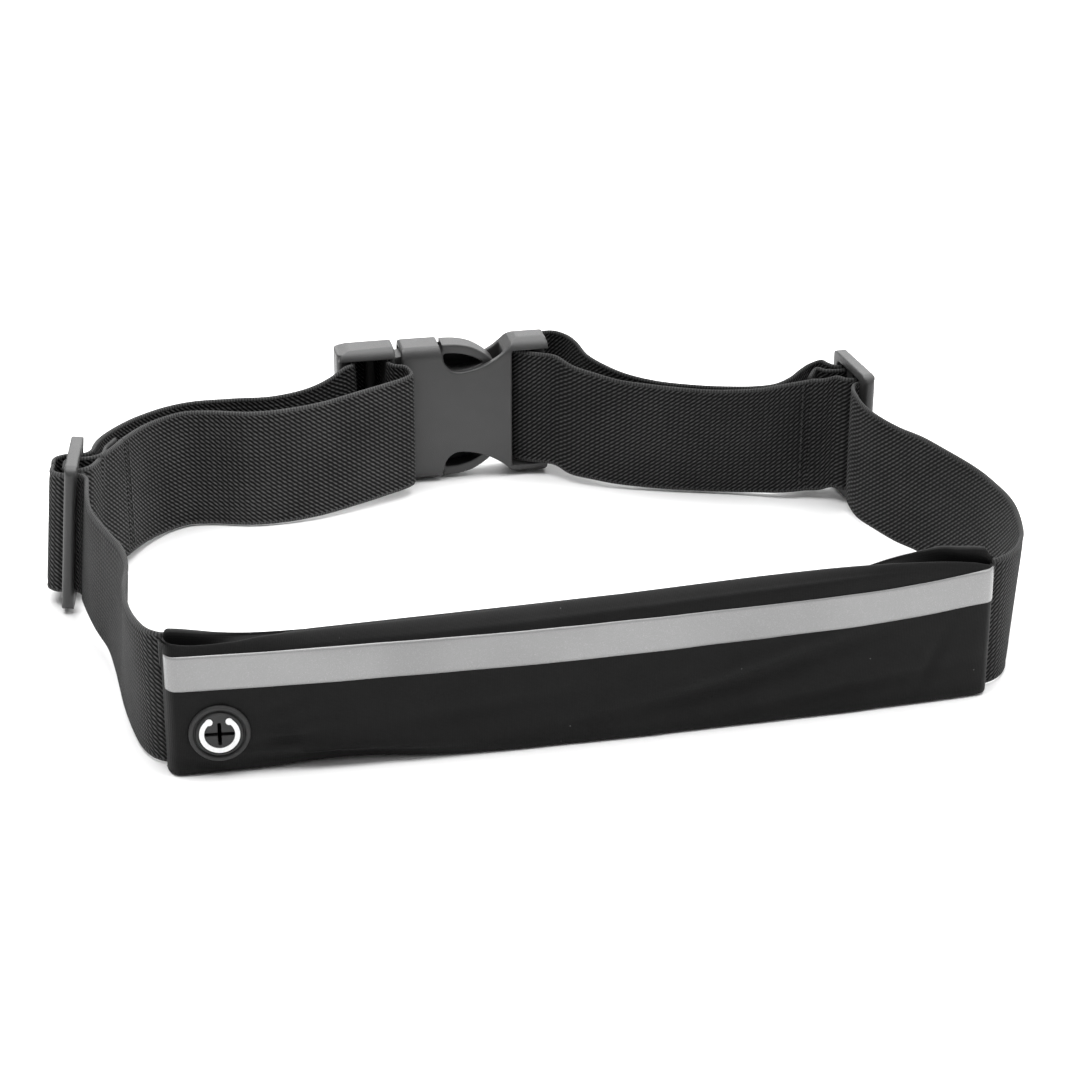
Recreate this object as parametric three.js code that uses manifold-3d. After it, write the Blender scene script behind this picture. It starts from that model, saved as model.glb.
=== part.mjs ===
// An elastic waist pack: a flat stretch-fabric pouch on a two-part elastic belt with a side-release buckle.
// Millimetres, +Z up. The closed belt stands on its lower edges as a loop: the pouch runs along X at the front
// (-Y), its zip faces the inside of the loop, and the buckle closes the belt at the back (+Y).
import * as THREE from "three";
import { mergeVertices } from "three/addons/utils/BufferGeometryUtils.js";
import Module from "manifold-3d";

const wasm = await Module();
wasm.setup();

// ---------------------------------------------------------------- driving dimensions
const GAP = 0.3; // between pieces that touch
const MIDDLE = 23.7; // mid-height of the buckle and sliders
const STRAP = { width: 38, thick: 1.7, lift: MIDDLE - 19 }; // elastic webbing, centred in the hardware's slots
const SLOT = 39.6; // length of the strap slots
const POUCH = { half: 112.5, height: 40.2, backHeight: 36.2, cloth: 0.9, backY: -90 };
const CENTRE = { x: -3.0875, y: -2.2355 }; // middle of the loop's footprint, which becomes the origin
const STRIP = { low: 25.4, width: 9.5, climb: 3 }; // the strip's lower edge climbs towards the far end
const ZIP = { from: -98, to: 98, z: 27, windowHalf: 4.5, slitHalf: 0.8, tapeHeight: 6, tape: 0.9, coil: 2 };
const GROMMET = { x: -99, z: 13, flange: 8, barrel: 6, dish: 7 };
const GLIDE = { height: 45.4, width: 27, thick: 3.6, rail: 4.1, bar: 5.2, barThick: 2.6 }; // three-bar strap slider
const LEFT_GLIDE = { x: -130.4, y: 17, turn: -7.5, tilt: 5, slack: 1.3 };
const RIGHT_GLIDE = { x: 114.3, y: 41.8, turn: 4.8, tilt: 0, slack: 0 };
const BUCKLE = { height: 46.4, front: 79.5, back: 92.5, wall: 2.2 };
const FEMALE = { mouth: -23, collarEnd: -10.5, plateEnd: 12.5, barFrom: 19.8, end: 24.3 };
const MALE = { end: -43.5, endBar: -38.8, midFrom: -34, midTo: -30.6, wallFrom: -27, face: -25, tip: 4 };
const ARM = { root: -22.5, rise: 17, tip: 7.2 }; // x and height above the middle of the root, and x of the tip

const COLOURS = {
  webbing: 0x2b2b2c,
  lycra: 0x161617,
  plastic: 0x4a4a4b,
  reflective: 0xb9babb,
  rubber: 0x1f1f20,
  symbol: 0xf0f0f0,
  zip: 0x141414,
  metal: 0x2a2a2b,
  thread: 0x101010,
};
const material = (colour, roughness, metalness = 0) =>
  new THREE.MeshStandardMaterial({ color: COLOURS[colour], roughness, metalness });
const WEBBING = material("webbing", 0.9);
const LYCRA = material("lycra", 0.75);
const PLASTIC = material("plastic", 0.45);
const REFLECTIVE = material("reflective", 0.4);
const RUBBER = material("rubber", 0.6);
const SYMBOL = material("symbol", 0.5);
const ZIPPER = material("zip", 0.6);
const METAL = material("metal", 0.35, 0.6);
const THREAD = material("thread", 0.8);

// ---------------------------------------------------------------- solids
function solidOf(geometry) {
  const bare = geometry.index ? geometry.toNonIndexed() : geometry.clone();
  bare.deleteAttribute("normal");
  bare.deleteAttribute("uv");
  const merged = mergeVertices(bare, 1e-4);
  return new wasm.Manifold(
    new wasm.Mesh({
      numProp: 3,
      vertProperties: merged.attributes.position.array,
      triVerts: new Uint32Array(merged.index.array),
    }),
  );
}

function geometryOf(solid) {
  const mesh = solid.getMesh();
  return new THREE.BufferGeometry()
    .setAttribute("position", new THREE.BufferAttribute(new Float32Array(mesh.vertProperties), 3))
    .setIndex(new THREE.BufferAttribute(mesh.triVerts, 1));
}

const union = (first, ...others) => others.reduce((sum, next) => sum.add(next), first);
const cut = (first, ...others) => others.reduce((sum, next) => sum.subtract(next), first);

// A box given by its ranges.
function box([x0, x1], [y0, y1], [z0, z1]) {
  const g = new THREE.BoxGeometry(x1 - x0, y1 - y0, z1 - z0);
  return solidOf(g.translate((x0 + x1) / 2, (y0 + y1) / 2, (z0 + z1) / 2));
}

// A rectangle with round corners as a shape.
function roundedRectangle(u0, u1, v0, v1, radius) {
  const r = Math.min(radius, (u1 - u0) / 2 - 0.01, (v1 - v0) / 2 - 0.01);
  const shape = new THREE.Shape();
  shape.absarc(u1 - r, v0 + r, r, -Math.PI / 2, 0);
  shape.absarc(u1 - r, v1 - r, r, 0, Math.PI / 2);
  shape.absarc(u0 + r, v1 - r, r, Math.PI / 2, Math.PI);
  shape.absarc(u0 + r, v0 + r, r, Math.PI, 1.5 * Math.PI);
  shape.closePath();
  return shape;
}

// A shape drawn in plan and raised from z0 to z1.
function raised(shape, z0, z1, curveSegments = 6) {
  const g = new THREE.ExtrudeGeometry(shape, { depth: z1 - z0, bevelEnabled: false, curveSegments });
  return solidOf(g.translate(0, 0, z0));
}

// A shape drawn in the X-Z plane and extended from y0 to y1.
function deepened(shape, y0, y1, curveSegments = 6) {
  const g = new THREE.ExtrudeGeometry(shape, { depth: y1 - y0, bevelEnabled: false, curveSegments });
  return solidOf(g.rotateX(Math.PI / 2).translate(0, y1, 0));
}

// A shape drawn in the Y-Z plane and extended from x0 to x1.
function lengthened(shape, x0, x1, curveSegments = 6) {
  const g = new THREE.ExtrudeGeometry(shape, { depth: x1 - x0, bevelEnabled: false, curveSegments });
  return solidOf(g.rotateX(Math.PI / 2).rotateZ(Math.PI / 2).translate(x0, 0, 0));
}

// A closed solid from a row of rings, each a closed polygon with the same number of corners.
function skinned(rings) {
  const count = rings[0].length;
  const positions = rings.flat().flatMap((p) => [p.x, p.y, p.z]);
  const faces = [];
  for (let i = 0; i < rings.length - 1; i++) {
    for (let j = 0; j < count; j++) {
      const a = i * count + j;
      const b = i * count + ((j + 1) % count);
      faces.push(a, b, a + count, b, b + count, a + count);
    }
  }
  // The end rings are flat, so each is triangulated in its own plane.
  const capOf = (ring, start, flip) => {
    const along = ring[1].clone().sub(ring[0]).normalize();
    const normal = new THREE.Vector3();
    ring.forEach((p, i) => normal.add(p.clone().cross(ring[(i + 1) % count])));
    const across = normal.normalize().clone().cross(along);
    const flat = ring.map((p) => new THREE.Vector2(p.dot(along), p.dot(across)));
    for (const [a, b, c] of THREE.ShapeUtils.triangulateShape(flat, [])) {
      faces.push(start + a, start + (flip ? c : b), start + (flip ? b : c));
    }
  };
  capOf(rings[0], 0, true);
  capOf(rings.at(-1), (rings.length - 1) * count, false);
  const g = new THREE.BufferGeometry();
  g.setAttribute("position", new THREE.Float32BufferAttribute(positions, 3));
  g.setIndex(faces);
  const solid = solidOf(g);
  return solid.volume() < 0 ? solidOf(flipped(g)) : solid;
}

function flipped(geometry) {
  const g = geometry.clone();
  const index = g.index.array;
  for (let i = 0; i < index.length; i += 3) [index[i + 1], index[i + 2]] = [index[i + 2], index[i + 1]];
  return g;
}

// ---------------------------------------------------------------- webbing
// A strap follows points [x, y, lower edge's z, lean x, lean y]: its width stands up from the lower edge, and its
// top edge lies off to the side of the lower one by the lean, with x and y at mid-height.
function strap(points, step = 3) {
  const line = new THREE.CatmullRomCurve3(points.map(([x, y, z]) => new THREE.Vector3(x, y, z ?? STRAP.lift)));
  const leans = new THREE.CatmullRomCurve3(points.map((p) => new THREE.Vector3(p[3] ?? 0, p[4] ?? 0, 0)));
  const spans = points.length - 1;
  const rings = [];
  for (let i = 0; i < spans; i++) {
    const reach = Math.hypot(points[i + 1][0] - points[i][0], points[i + 1][1] - points[i][1]);
    const steps = Math.max(2, Math.round(reach / step));
    for (let k = i === 0 ? 0 : 1; k <= steps; k++) {
      const t = (i + k / steps) / spans;
      const ahead = line.getTangent(t).setZ(0).normalize();
      const half = new THREE.Vector3(ahead.y, -ahead.x, 0).multiplyScalar(STRAP.thick / 2);
      const lean = leans.getPoint(t);
      const foot = line.getPoint(t).addScaledVector(lean, -0.5);
      const head = foot.clone().add(lean);
      head.z += Math.sqrt(STRAP.width ** 2 - lean.lengthSq());
      rings.push([foot.clone().sub(half), foot.clone().add(half), head.clone().add(half), head.clone().sub(half)]);
    }
  }
  return skinned(rings);
}

// ---------------------------------------------------------------- strap sliders
// Places (s, n) of a slider in plan, at mid-height: s runs along its width away from the pouch, n out of the loop.
// A strap there leans with the slider, whose top tilts into the loop.
function glideFrame(glide, outward) {
  const turn = THREE.MathUtils.degToRad(glide.turn);
  const along = [-Math.sin(turn), Math.cos(turn)];
  const out = [outward * Math.cos(turn), outward * Math.sin(turn)];
  const lean = -STRAP.width * Math.sin(THREE.MathUtils.degToRad(glide.tilt));
  return (s, n, z) => [
    glide.x + s * along[0] + n * out[0],
    glide.y + s * along[1] + n * out[1],
    z,
    lean * out[0],
    lean * out[1],
  ];
}
const atLeft = glideFrame(LEFT_GLIDE, -1);
const atRight = glideFrame(RIGHT_GLIDE, 1);
const SEWN_S = 4.4; // where the sewn loop passes the slots
const RUN_S = 7.2; // where the running strap passes the slots
const SEWN_N = 2.65; // how far outside the bar's middle the sewn loop lies
const RUN_N = 4.75;

// The running strap from the bar's outside, through one slot and along inside the rail; way is +1 for the far side.
const throughSlot = (at, { slack }, way) => [
  at(way * 0.2, RUN_N + slack),
  at(way * 4.4, RUN_N - 0.1 + slack),
  at(way * (RUN_S - 0.3), RUN_N - 2.2 + slack / 2),
  at(way * RUN_S, -0.2),
  at(way * (RUN_S + 0.9), -2.9),
  at(way * (RUN_S + 3.4), -4.4),
  at(way * (GLIDE.width / 2), -4.7),
];

// The sewn end's loop round the slider's middle bar, from the near slot to the far slot.
const roundBar = (at) => [
  at(-SEWN_S, -1.2),
  at(-SEWN_S, 1),
  at(-2.6, SEWN_N),
  at(0, SEWN_N + 0.05),
  at(2.6, SEWN_N),
  at(SEWN_S, 1),
  at(SEWN_S, -1.2),
];

function glide(place) {
  const half = GLIDE.width / 2;
  const high = GLIDE.height / 2;
  const body = raised(roundedRectangle(-GLIDE.thick / 2, GLIDE.thick / 2, -half, half, 1.4), -high, high);
  const outline = lengthened(roundedRectangle(-half, half, -high, high, 3), -GLIDE.thick, GLIDE.thick);
  const slot = (from, to) =>
    lengthened(roundedRectangle(from, to, -SLOT / 2, SLOT / 2, 1), -GLIDE.thick, GLIDE.thick);
  const edge = half - GLIDE.rail;
  const thinned = (side) =>
    box(
      side > 0 ? [GLIDE.barThick / 2, GLIDE.thick] : [-GLIDE.thick, -GLIDE.barThick / 2],
      [-GLIDE.bar / 2 - 0.5, GLIDE.bar / 2 + 0.5],
      [-SLOT / 2, SLOT / 2],
    );
  const plate = cut(
    body.intersect(outline),
    slot(-edge, -GLIDE.bar / 2),
    slot(GLIDE.bar / 2, edge),
    thinned(1),
    thinned(-1),
  );
  return plate.rotate([0, place.tilt, 0]).rotate([0, 0, place.turn]).translate([place.x, place.y, MIDDLE]);
}

// ---------------------------------------------------------------- strap routes
const LEFT_POUCH_RUN = [
  [-103.5, -91.45, 1],
  [-109.5, -91.45, 1],
  [-112.4, -90.9, 1],
  [-115.4, -88.2, 0.8],
  [-117.8, -82.5, 0.6],
  [-119.6, -72, 0.5],
  [-120.2, -59, 0.5, 1.5],
  [-119.8, -47, 0.5, 3.5],
  [-120.4, -36, 0.6, 3.5],
  [-122.8, -24, 1.2, 1],
  [-126.2, -11.5, 2.4, 0.5],
  ...throughSlot(atLeft, LEFT_GLIDE, -1).reverse(),
];
const LEFT_OUTER = [
  ...throughSlot(atLeft, LEFT_GLIDE, 1),
  [-121, 38, 3, 1],
  [-115.5, 48, 2],
  [-108, 57.5, 1.2],
  [-99, 65, 0.8],
  [-90, 68.4, 0.6],
  [-78.5, 68.8, 0.6],
  [-66, 67.6, 0.8],
  [-54.5, 70, 1.6],
  [-46.5, 74.8, 2.8],
  [-41.2, 78.4],
  [-38, 80.6],
  [-36.6, 84],
  [-36, 88],
  [-34, 90.8],
  [-32.4, 90.95],
];
const LEFT_INNER = [
  [-31.6, 90.9],
  [-30.2, 90.1],
  [-29, 87.6],
  [-28.8, 83.5],
  [-28, 80],
  [-25.6, 77.4],
  [-22.4, 75.6],
  [-21, 72.8, 3.4],
  [-23.2, 70, 3.2],
  [-30.5, 66.6, 2.6],
  [-41, 62.6, 1.8],
  [-53, 58.6, 1],
  [-63.5, 56.7, 0.6],
  [-74.5, 56.8, 0.5],
  [-86, 60, 0.5],
  [-93.6, 60.6, 0.6],
  [-101, 56.4, 0.8],
  [-107.2, 49.4, 1.4],
  [-111.6, 41.8, 2.2],
  [-113.8, 37.2, 2.8],
];
const LEFT_SEWN = [
  [-114, 36.8, 2.8],
  [-117, 31.4, 3.2, 1],
  [-121.4, 24.5, 3.5, 2],
  atLeft(-2.6, -4.4),
  ...roundBar(atLeft),
  atLeft(4.9, -4.2),
  atLeft(7, -7.2),
  [-119.8, 30.6, 3.6, 1.5],
  [-118, 34.2, 3.2, 1],
  [-115.9, 38, 2.8],
];
const RIGHT_POUCH_RUN = [
  [103.5, -91.45, 1],
  [109.5, -91.45, 1],
  [112.6, -91, 1],
  [116.2, -89.2, 0.8],
  [121, -84.5, 0.6, 1],
  [125.4, -76, 0.5, 3],
  [128.4, -63.5, 0.5, 4.5],
  [130.4, -50, 0.5, 3.8],
  [130, -37, 0.6, 2.6],
  [128.4, -26, 0.9, 1],
  [125.6, -15.5, 1.2, -0.6],
  [121.8, -5.5, 1.6, -1],
  [117.4, 3.8, 1.4, -1],
  [113.4, 12.4, 2.2, -1],
  [110.8, 20.4, 3],
  [109.9, 26],
  ...throughSlot(atRight, RIGHT_GLIDE, -1).reverse().slice(1),
];
const RIGHT_OUTER = [
  ...throughSlot(atRight, RIGHT_GLIDE, 1).slice(0, -1),
  [107.6, 55.2],
  [104.4, 56, 3.4],
  [100.6, 53.2, 2.8],
  [96, 49.8, 1.8, 0, -1],
  [90.5, 48.2, 1.2, 0, -3],
  [84, 49.3, 1, 0, -5],
  [75, 52.4, 0.8, 0, -6],
  [64, 56.2, 0.8, 0, -6],
  [54, 60, 1, 0, -5],
  [46, 65, 1.6, 0, -3],
  [40.2, 71.6, 2.4, 0, -1],
  [36.8, 79, 3],
  [34.8, 87],
  [32.6, 94],
  [29.2, 97.6],
  [25.6, 97.4],
  [22.4, 94.6],
];
const RIGHT_INNER = [
  [22, 94.2],
  [19, 93.4],
  [15.7, 91.2],
  [14.2, 88],
  [14.3, 84.8],
  [16.6, 81.2],
  [20.6, 78.6],
  [25.6, 75.4],
  [30, 70.6, 3, 0, -1],
  [36, 65.6, 2.4, 0, -3],
  [43, 61.2, 1.6, 0, -5],
  [53.5, 56.8, 1, 0, -6],
  [64, 53, 0.8, 0, -6.4],
  [75, 49.6, 0.8, 0, -6.4],
  [85, 46.6, 1.2, 0, -5],
  [93.5, 44.6, 2, 0, -1.5],
  [100.4, 43.9, 2.8],
];
const RIGHT_SEWN = [
  [101, 43.8, 2.8],
  [105.2, 42.4, 3.2],
  [108.4, 40.4],
  atRight(-3.6, -3.9),
  ...roundBar(atRight),
  atRight(4.9, -4.2),
  atRight(5.8, -7.2),
  [104.4, 49.2],
  [101.2, 46.3, 2.8],
];

// A row of lock stitches standing on the inner face of a strap, across its width.
function stitchRow([x, y], angle) {
  const row = box([-0.5, 0.5], [-0.2, 0.2], [STRAP.lift + 1.5, STRAP.lift + STRAP.width - 1.5]);
  return row.rotate([0, 0, angle]).translate([x, y, 0]);
}

// ---------------------------------------------------------------- pouch
// The front panel's outer face in plan: bowed out most at BOW.x, where the empty pocket is slack.
const BOW = { x: -35, y: -102.6, left: -99.2, right: -96.4 };
function frontAt(x) {
  const reach = x < BOW.x ? BOW.x + POUCH.half : POUCH.half - BOW.x;
  const share = (x - BOW.x) / reach;
  const rise = (x < BOW.x ? BOW.left : BOW.right) - BOW.y;
  const slope = (2 * rise * share) / reach;
  const p = new THREE.Vector3(x, BOW.y + rise * share ** 2, 0);
  return { p, inward: new THREE.Vector3(-slope, 1, 0).normalize() };
}

// A sheet along the front panel's line. section(x, depth) lists [inward, z] corners; depth is the pocket's there.
function alongFront(section, reach, steps) {
  const rings = [];
  for (let i = 0; i <= steps; i++) {
    const x = reach * ((2 * i) / steps - 1);
    const { p, inward } = frontAt(x);
    rings.push(section(x, POUCH.backY - p.y).map(([n, z]) => p.clone().addScaledVector(inward, n).setZ(z)));
  }
  return skinned(rings);
}

// The back panel's upper edge: low along the pocket's mouth, full height where the straps are sewn in.
const backTop = (x) =>
  POUCH.backHeight + (POUCH.height - POUCH.backHeight) * THREE.MathUtils.smoothstep(Math.abs(x), 84, 100);

function frontPanel() {
  const h = POUCH.height;
  const t = POUCH.cloth;
  const sheet = alongFront(
    (x, depth) => [
      [2.4, 1.1],
      [0.8, 2.4],
      [0, 5],
      [0, h - 5.5],
      [0.7, h - 2.4],
      [2.2, h - 0.4],
      [3.4, h],
      [depth - GAP - 0.5, backTop(x)],
      [depth - GAP - 0.5, backTop(x) - t],
      [3.4, h - t],
      [2.5, h - 0.4 - t],
      [1.6, h - 2.9],
      [t, h - 5.7],
      [t, 5.2],
      [1.6, 3],
      [2.8, 1.9],
    ],
    POUCH.half - 0.7,
    40,
  );
  const hole = new THREE.CylinderGeometry(GROMMET.barrel + GAP, GROMMET.barrel + GAP, 30, 32);
  return cut(sheet, solidOf(hole.translate(GROMMET.x, -100, GROMMET.z)));
}

function backPanel() {
  const reach = 110.6;
  const shape = new THREE.Shape();
  shape.moveTo(-reach, 1);
  shape.lineTo(reach, 1);
  for (let i = 0; i <= 40; i++) {
    const x = reach * (1 - i / 20);
    shape.lineTo(x, backTop(x));
  }
  shape.closePath();
  const window = box([ZIP.from, ZIP.to], [-200, 0], [ZIP.z - ZIP.windowHalf, ZIP.z + ZIP.windowHalf]);
  return cut(deepened(shape, POUCH.backY, POUCH.backY + POUCH.cloth), window);
}

const bottomGusset = () =>
  alongFront(
    (x, depth) => [
      [2.4, 0],
      [depth - 0.3 - GAP, 0],
      [depth - 0.3 - GAP, 0.7],
      [2.4, 0.7],
    ],
    POUCH.half - 1.5,
    24,
  );

// The folded and bound end of the pouch, in front of the strap's sewn tab.
function endSeam(side, frontY) {
  const x0 = POUCH.half - 0.4;
  const outline = roundedRectangle(x0, x0 + 1.6, frontY + 0.3, POUCH.backY - 2.6, 0.7);
  const solid = raised(outline, 2.6, POUCH.height - 1.2);
  return side > 0 ? solid : solid.mirror([1, 0, 0]);
}

function reflectiveStrip() {
  const lower = (x) => STRIP.low + STRIP.climb * ((x + POUCH.half) / (2 * POUCH.half)) ** 3;
  return alongFront(
    (x) => [
      [-GAP - 0.25, lower(x)],
      [-GAP, lower(x)],
      [-GAP, lower(x) + STRIP.width],
      [-GAP - 0.25, lower(x) + STRIP.width],
    ],
    POUCH.half - 0.7,
    40,
  );
}

// ---------------------------------------------------------------- cable port
const PORT = frontAt(GROMMET.x); // where the panel's outer face meets the port's axis
const turned = (profile, segments = 48) => {
  const g = new THREE.LatheGeometry(profile.map(([r, y]) => new THREE.Vector2(r, y)), segments);
  return solidOf(g);
};
// A lathe's axis is Y, so its y is depth: 0 on the panel's face, negative outside.
function atPort(solid) {
  const turn = THREE.MathUtils.radToDeg(Math.atan2(-PORT.inward.x, PORT.inward.y));
  return solid.rotate([0, 0, turn]).translate([PORT.p.x, PORT.p.y - GAP, GROMMET.z]);
}

function grommetBody() {
  const { flange, barrel, dish } = GROMMET;
  const body = turned([
    [0, -0.7],
    [dish - 0.9, -0.7],
    [dish - 0.5, -0.3],
    [dish, -0.3],
    [dish + 0.3, -1.3],
    [flange - 0.5, -1.2],
    [flange, -0.6],
    [flange, -0.1],
    [barrel, -0.1],
    [barrel, 2.6],
    [barrel - 1, 2.6],
    [barrel - 1, 0.6],
    [0, 0.6],
  ]);
  const slit = (w, h) => box([-w / 2, w / 2], [-3, 3], [-h / 2, h / 2]);
  return atPort(cut(body, slit(8.4, 1.2), slit(1.2, 8.4)));
}

const grommetBacking = () =>
  atPort(
    turned([
      [GROMMET.barrel + GAP, 1.5],
      [GROMMET.flange, 1.5],
      [GROMMET.flange, 2.3],
      [GROMMET.barrel + GAP, 2.3],
      [GROMMET.barrel + GAP, 1.5],
    ]),
  );

// An open ring with two round ends, the generic sign for a headphone lead.
function grommetSymbol() {
  const [inner, outer, open] = [4, 5.3, 0.62];
  const middle = (inner + outer) / 2;
  const top = Math.PI / 2;
  const shape = new THREE.Shape();
  shape.absarc(0, 0, outer, top - open, top + open, true);
  shape.absarc(0, 0, inner, top + open, top - open, false);
  shape.closePath();
  const ends = [-1, 1].map((way) => {
    const a = top + way * open;
    const knob = new THREE.Shape();
    knob.absarc(Math.cos(a) * (middle - 0.15), Math.sin(a) * (middle - 0.15), 0.95, 0, 2 * Math.PI);
    return deepened(knob, -1.25, -1, 8);
  });
  return atPort(union(deepened(shape, -1.25, -1, 40), ...ends));
}

// ---------------------------------------------------------------- zip
const zipTape = (side) => {
  const edge = ZIP.z + side * ZIP.slitHalf;
  const span = [edge, edge + side * ZIP.tapeHeight].sort((a, b) => a - b);
  return box([ZIP.from - 4, ZIP.to + 4], [POUCH.backY - GAP - ZIP.tape, POUCH.backY - GAP], span);
};
const ZIP_FACE = POUCH.backY - GAP; // the tapes' outer face
const COIL_END = 88;
const zipCoil = (side) => {
  const span = [ZIP.z + side * 0.15, ZIP.z + side * 2.3].sort((a, b) => a - b);
  return box([ZIP.from + 4, COIL_END], [ZIP_FACE + 0.2, ZIP_FACE + 0.2 + ZIP.coil], span);
};
const zipStop = (x) =>
  box([x, x + 2], [ZIP_FACE + 0.2, ZIP_FACE + 1.9], [ZIP.z - 2.4, ZIP.z + 2.4]);
const SLIDER = { from: 82.5, to: 94.5, half: 3.9, face: ZIP_FACE + 2.6, crown: 88.5 };

function zipSlider() {
  const { from, to, half, face, crown } = SLIDER;
  const plate = deepened(roundedRectangle(from, to, ZIP.z - half, ZIP.z + half, 2.2), face, face + 1.2, 6);
  const under = deepened(
    roundedRectangle(from + 0.5, to - 0.5, ZIP.z - half, ZIP.z + half, 2),
    ZIP_FACE - ZIP.tape - 1.3,
    ZIP_FACE - ZIP.tape - 0.4,
    6,
  );
  const flange = (side) => {
    const span = [ZIP.z + side * (half - 0.8), ZIP.z + side * half].sort((a, b) => a - b);
    return box([from + 2.2, to - 2.2], [ZIP_FACE + 0.3, face + 0.1], span);
  };
  const neck = box([COIL_END + 0.8, to - 1.6], [ZIP_FACE - ZIP.tape - 0.5, face + 0.1], [ZIP.z - 0.5, ZIP.z + 0.5]);
  const arch = cut(
    box([crown - 3.6, crown + 3.6], [face + 1.1, face + 4.6], [ZIP.z - 1.1, ZIP.z + 1.1]),
    box([crown - 2.4, crown + 2.4], [face + 1.2, face + 3.5], [ZIP.z - 2, ZIP.z + 2]),
  );
  return union(plate, under, flange(1), flange(-1), neck, arch);
}

const PULL_Y = SLIDER.face + 2.35; // the pull's pivot, in the crown's hole
function zipPull() {
  const pin = new THREE.CylinderGeometry(0.7, 0.7, 6, 16).rotateX(Math.PI / 2);
  const bar = solidOf(pin.translate(SLIDER.crown, PULL_Y, ZIP.z));
  const y = [PULL_Y - 0.6, PULL_Y + 0.6];
  const leg = (side) => {
    const span = [ZIP.z + side * 1.7, ZIP.z + side * 3].sort((a, b) => a - b);
    return box([SLIDER.crown - 5.6, SLIDER.crown + 0.5], y, span);
  };
  const tab = deepened(roundedRectangle(SLIDER.crown - 27, SLIDER.crown - 5, ZIP.z - 3.4, ZIP.z + 3.4, 2.6), ...y);
  const eye = deepened(
    roundedRectangle(SLIDER.crown - 25, SLIDER.crown - 20, ZIP.z - 1.3, ZIP.z + 1.3, 1.3),
    y[0] - 1,
    y[1] + 1,
  );
  return union(bar, leg(1), leg(-1), cut(tab, eye));
}

// ---------------------------------------------------------------- buckle
// Both halves are cut from one outer form, a block with well-rounded long edges. Heights here are measured
// from the middle: the lower half of each outline is given, and the upper half mirrors it.
const HALF = BUCKLE.height / 2;
const buckleSkin = (x0, x1) =>
  lengthened(roundedRectangle(BUCKLE.front, BUCKLE.back, -HALF, HALF, 4.5), x0, x1, 8);
const inPlace = (solid) => solid.translate([0, 0, MIDDLE]);

// An outline whose lower half is [x, height above the lower edge].
function mirroredOutline(lower) {
  const shape = new THREE.Shape();
  const below = lower.map(([x, rise]) => [x, rise - HALF]);
  const above = lower.map(([x, rise]) => [x, HALF - rise]).reverse();
  [...below, ...above].forEach(([x, z], i) => (i ? shape.lineTo(x, z) : shape.moveTo(x, z)));
  shape.closePath();
  return shape;
}

function femaleOutline() {
  const { mouth, collarEnd, plateEnd, end } = FEMALE;
  const hollow = new THREE.CatmullRomCurve3(
    [
      [collarEnd + 0.2, 2.4],
      [collarEnd + 1.5, 6.8],
      [collarEnd + 4.5, 9.3],
      [0.3, 8.8],
      [5.3, 6.9],
      [9.7, 4.1],
      [plateEnd, 1.2],
    ].map(([x, rise]) => new THREE.Vector3(x, rise, 0)),
  );
  const curve = hollow.getPoints(26).map((p) => [p.x, p.y]);
  return mirroredOutline([
    [mouth, 1.3],
    [mouth + 0.8, 0.6],
    [collarEnd - 0.4, 0.6],
    [collarEnd, 1],
    ...curve,
    [plateEnd + 2.2, 0],
    [end - 1.5, 0],
    [end - 0.4, 0.5],
    [end, 1.8],
  ]);
}

function buckleFemale() {
  const { front, back, wall } = BUCKLE;
  const { mouth, plateEnd, barFrom, end } = FEMALE;
  const block = buckleSkin(mouth, end).intersect(deepened(femaleOutline(), front, back));
  const ceiling = HALF - 2.4;
  const cavity = roundedRectangle(front + wall, back - wall, -ceiling, ceiling, 0.8);
  const inside = lengthened(cavity, mouth - 1, plateEnd - 2.4);
  const slot = box([plateEnd, end + 1], [front - 1, back + 1], [-SLOT / 2, SLOT / 2]);
  const bar = raised(roundedRectangle(barFrom, end, front + 5, back - 1.5, 1.8), -HALF + 1.5, HALF - 1.5);
  return inPlace(union(cut(block, inside, slot), bar));
}

function buckleMale() {
  const { front, back } = BUCKLE;
  const { end, endBar, midFrom, midTo, wallFrom, face, tip } = MALE;
  const outline = mirroredOutline([
    [end + 0.2, 4],
    [end + 1.4, 1.4],
    [end + 4, 0.5],
    [face - 0.6, 0.2],
    [face, 0.8],
  ]);
  const block = buckleSkin(end, face).intersect(deepened(outline, front, back));
  const opening = box([end - 1, wallFrom], [front - 1, back + 1], [-SLOT / 2, SLOT / 2]);
  const clearFront = box([wallFrom - 0.1, face + 0.1], [front - 1, front + 1.5], [-SLOT / 2, SLOT / 2]);
  const upright = (x0, x1, y0, y1, radius) =>
    raised(roundedRectangle(x0, x1, y0, y1, radius), -HALF + 1.5, HALF - 1.5, 8);
  const endBarSolid = upright(end, endBar, front + 1.4, back - 0.8, 2.2);
  const middleBar = upright(midFrom, midTo, front + 5.5, front + 9.4, 1.4);
  const tongueShape = new THREE.Shape();
  tongueShape.moveTo(face - 1, -5.2);
  tongueShape.lineTo(tip - 3, -4.6);
  tongueShape.quadraticCurveTo(tip, -4.4, tip, 0);
  tongueShape.quadraticCurveTo(tip, 4.4, tip - 3, 4.6);
  tongueShape.lineTo(face - 1, 5.2);
  const tongue = deepened(tongueShape, front + 3, back - 3);
  const reliefs = [-ARM.rise, ARM.rise].map((rise) =>
    box([face - 1.2, face + 1], [front + 2.3, back - 2.3], [rise - 2.7, rise + 2.7]),
  );
  return inPlace(union(cut(block, opening, clearFront, ...reliefs), endBarSolid, middleBar, tongue));
}

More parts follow.
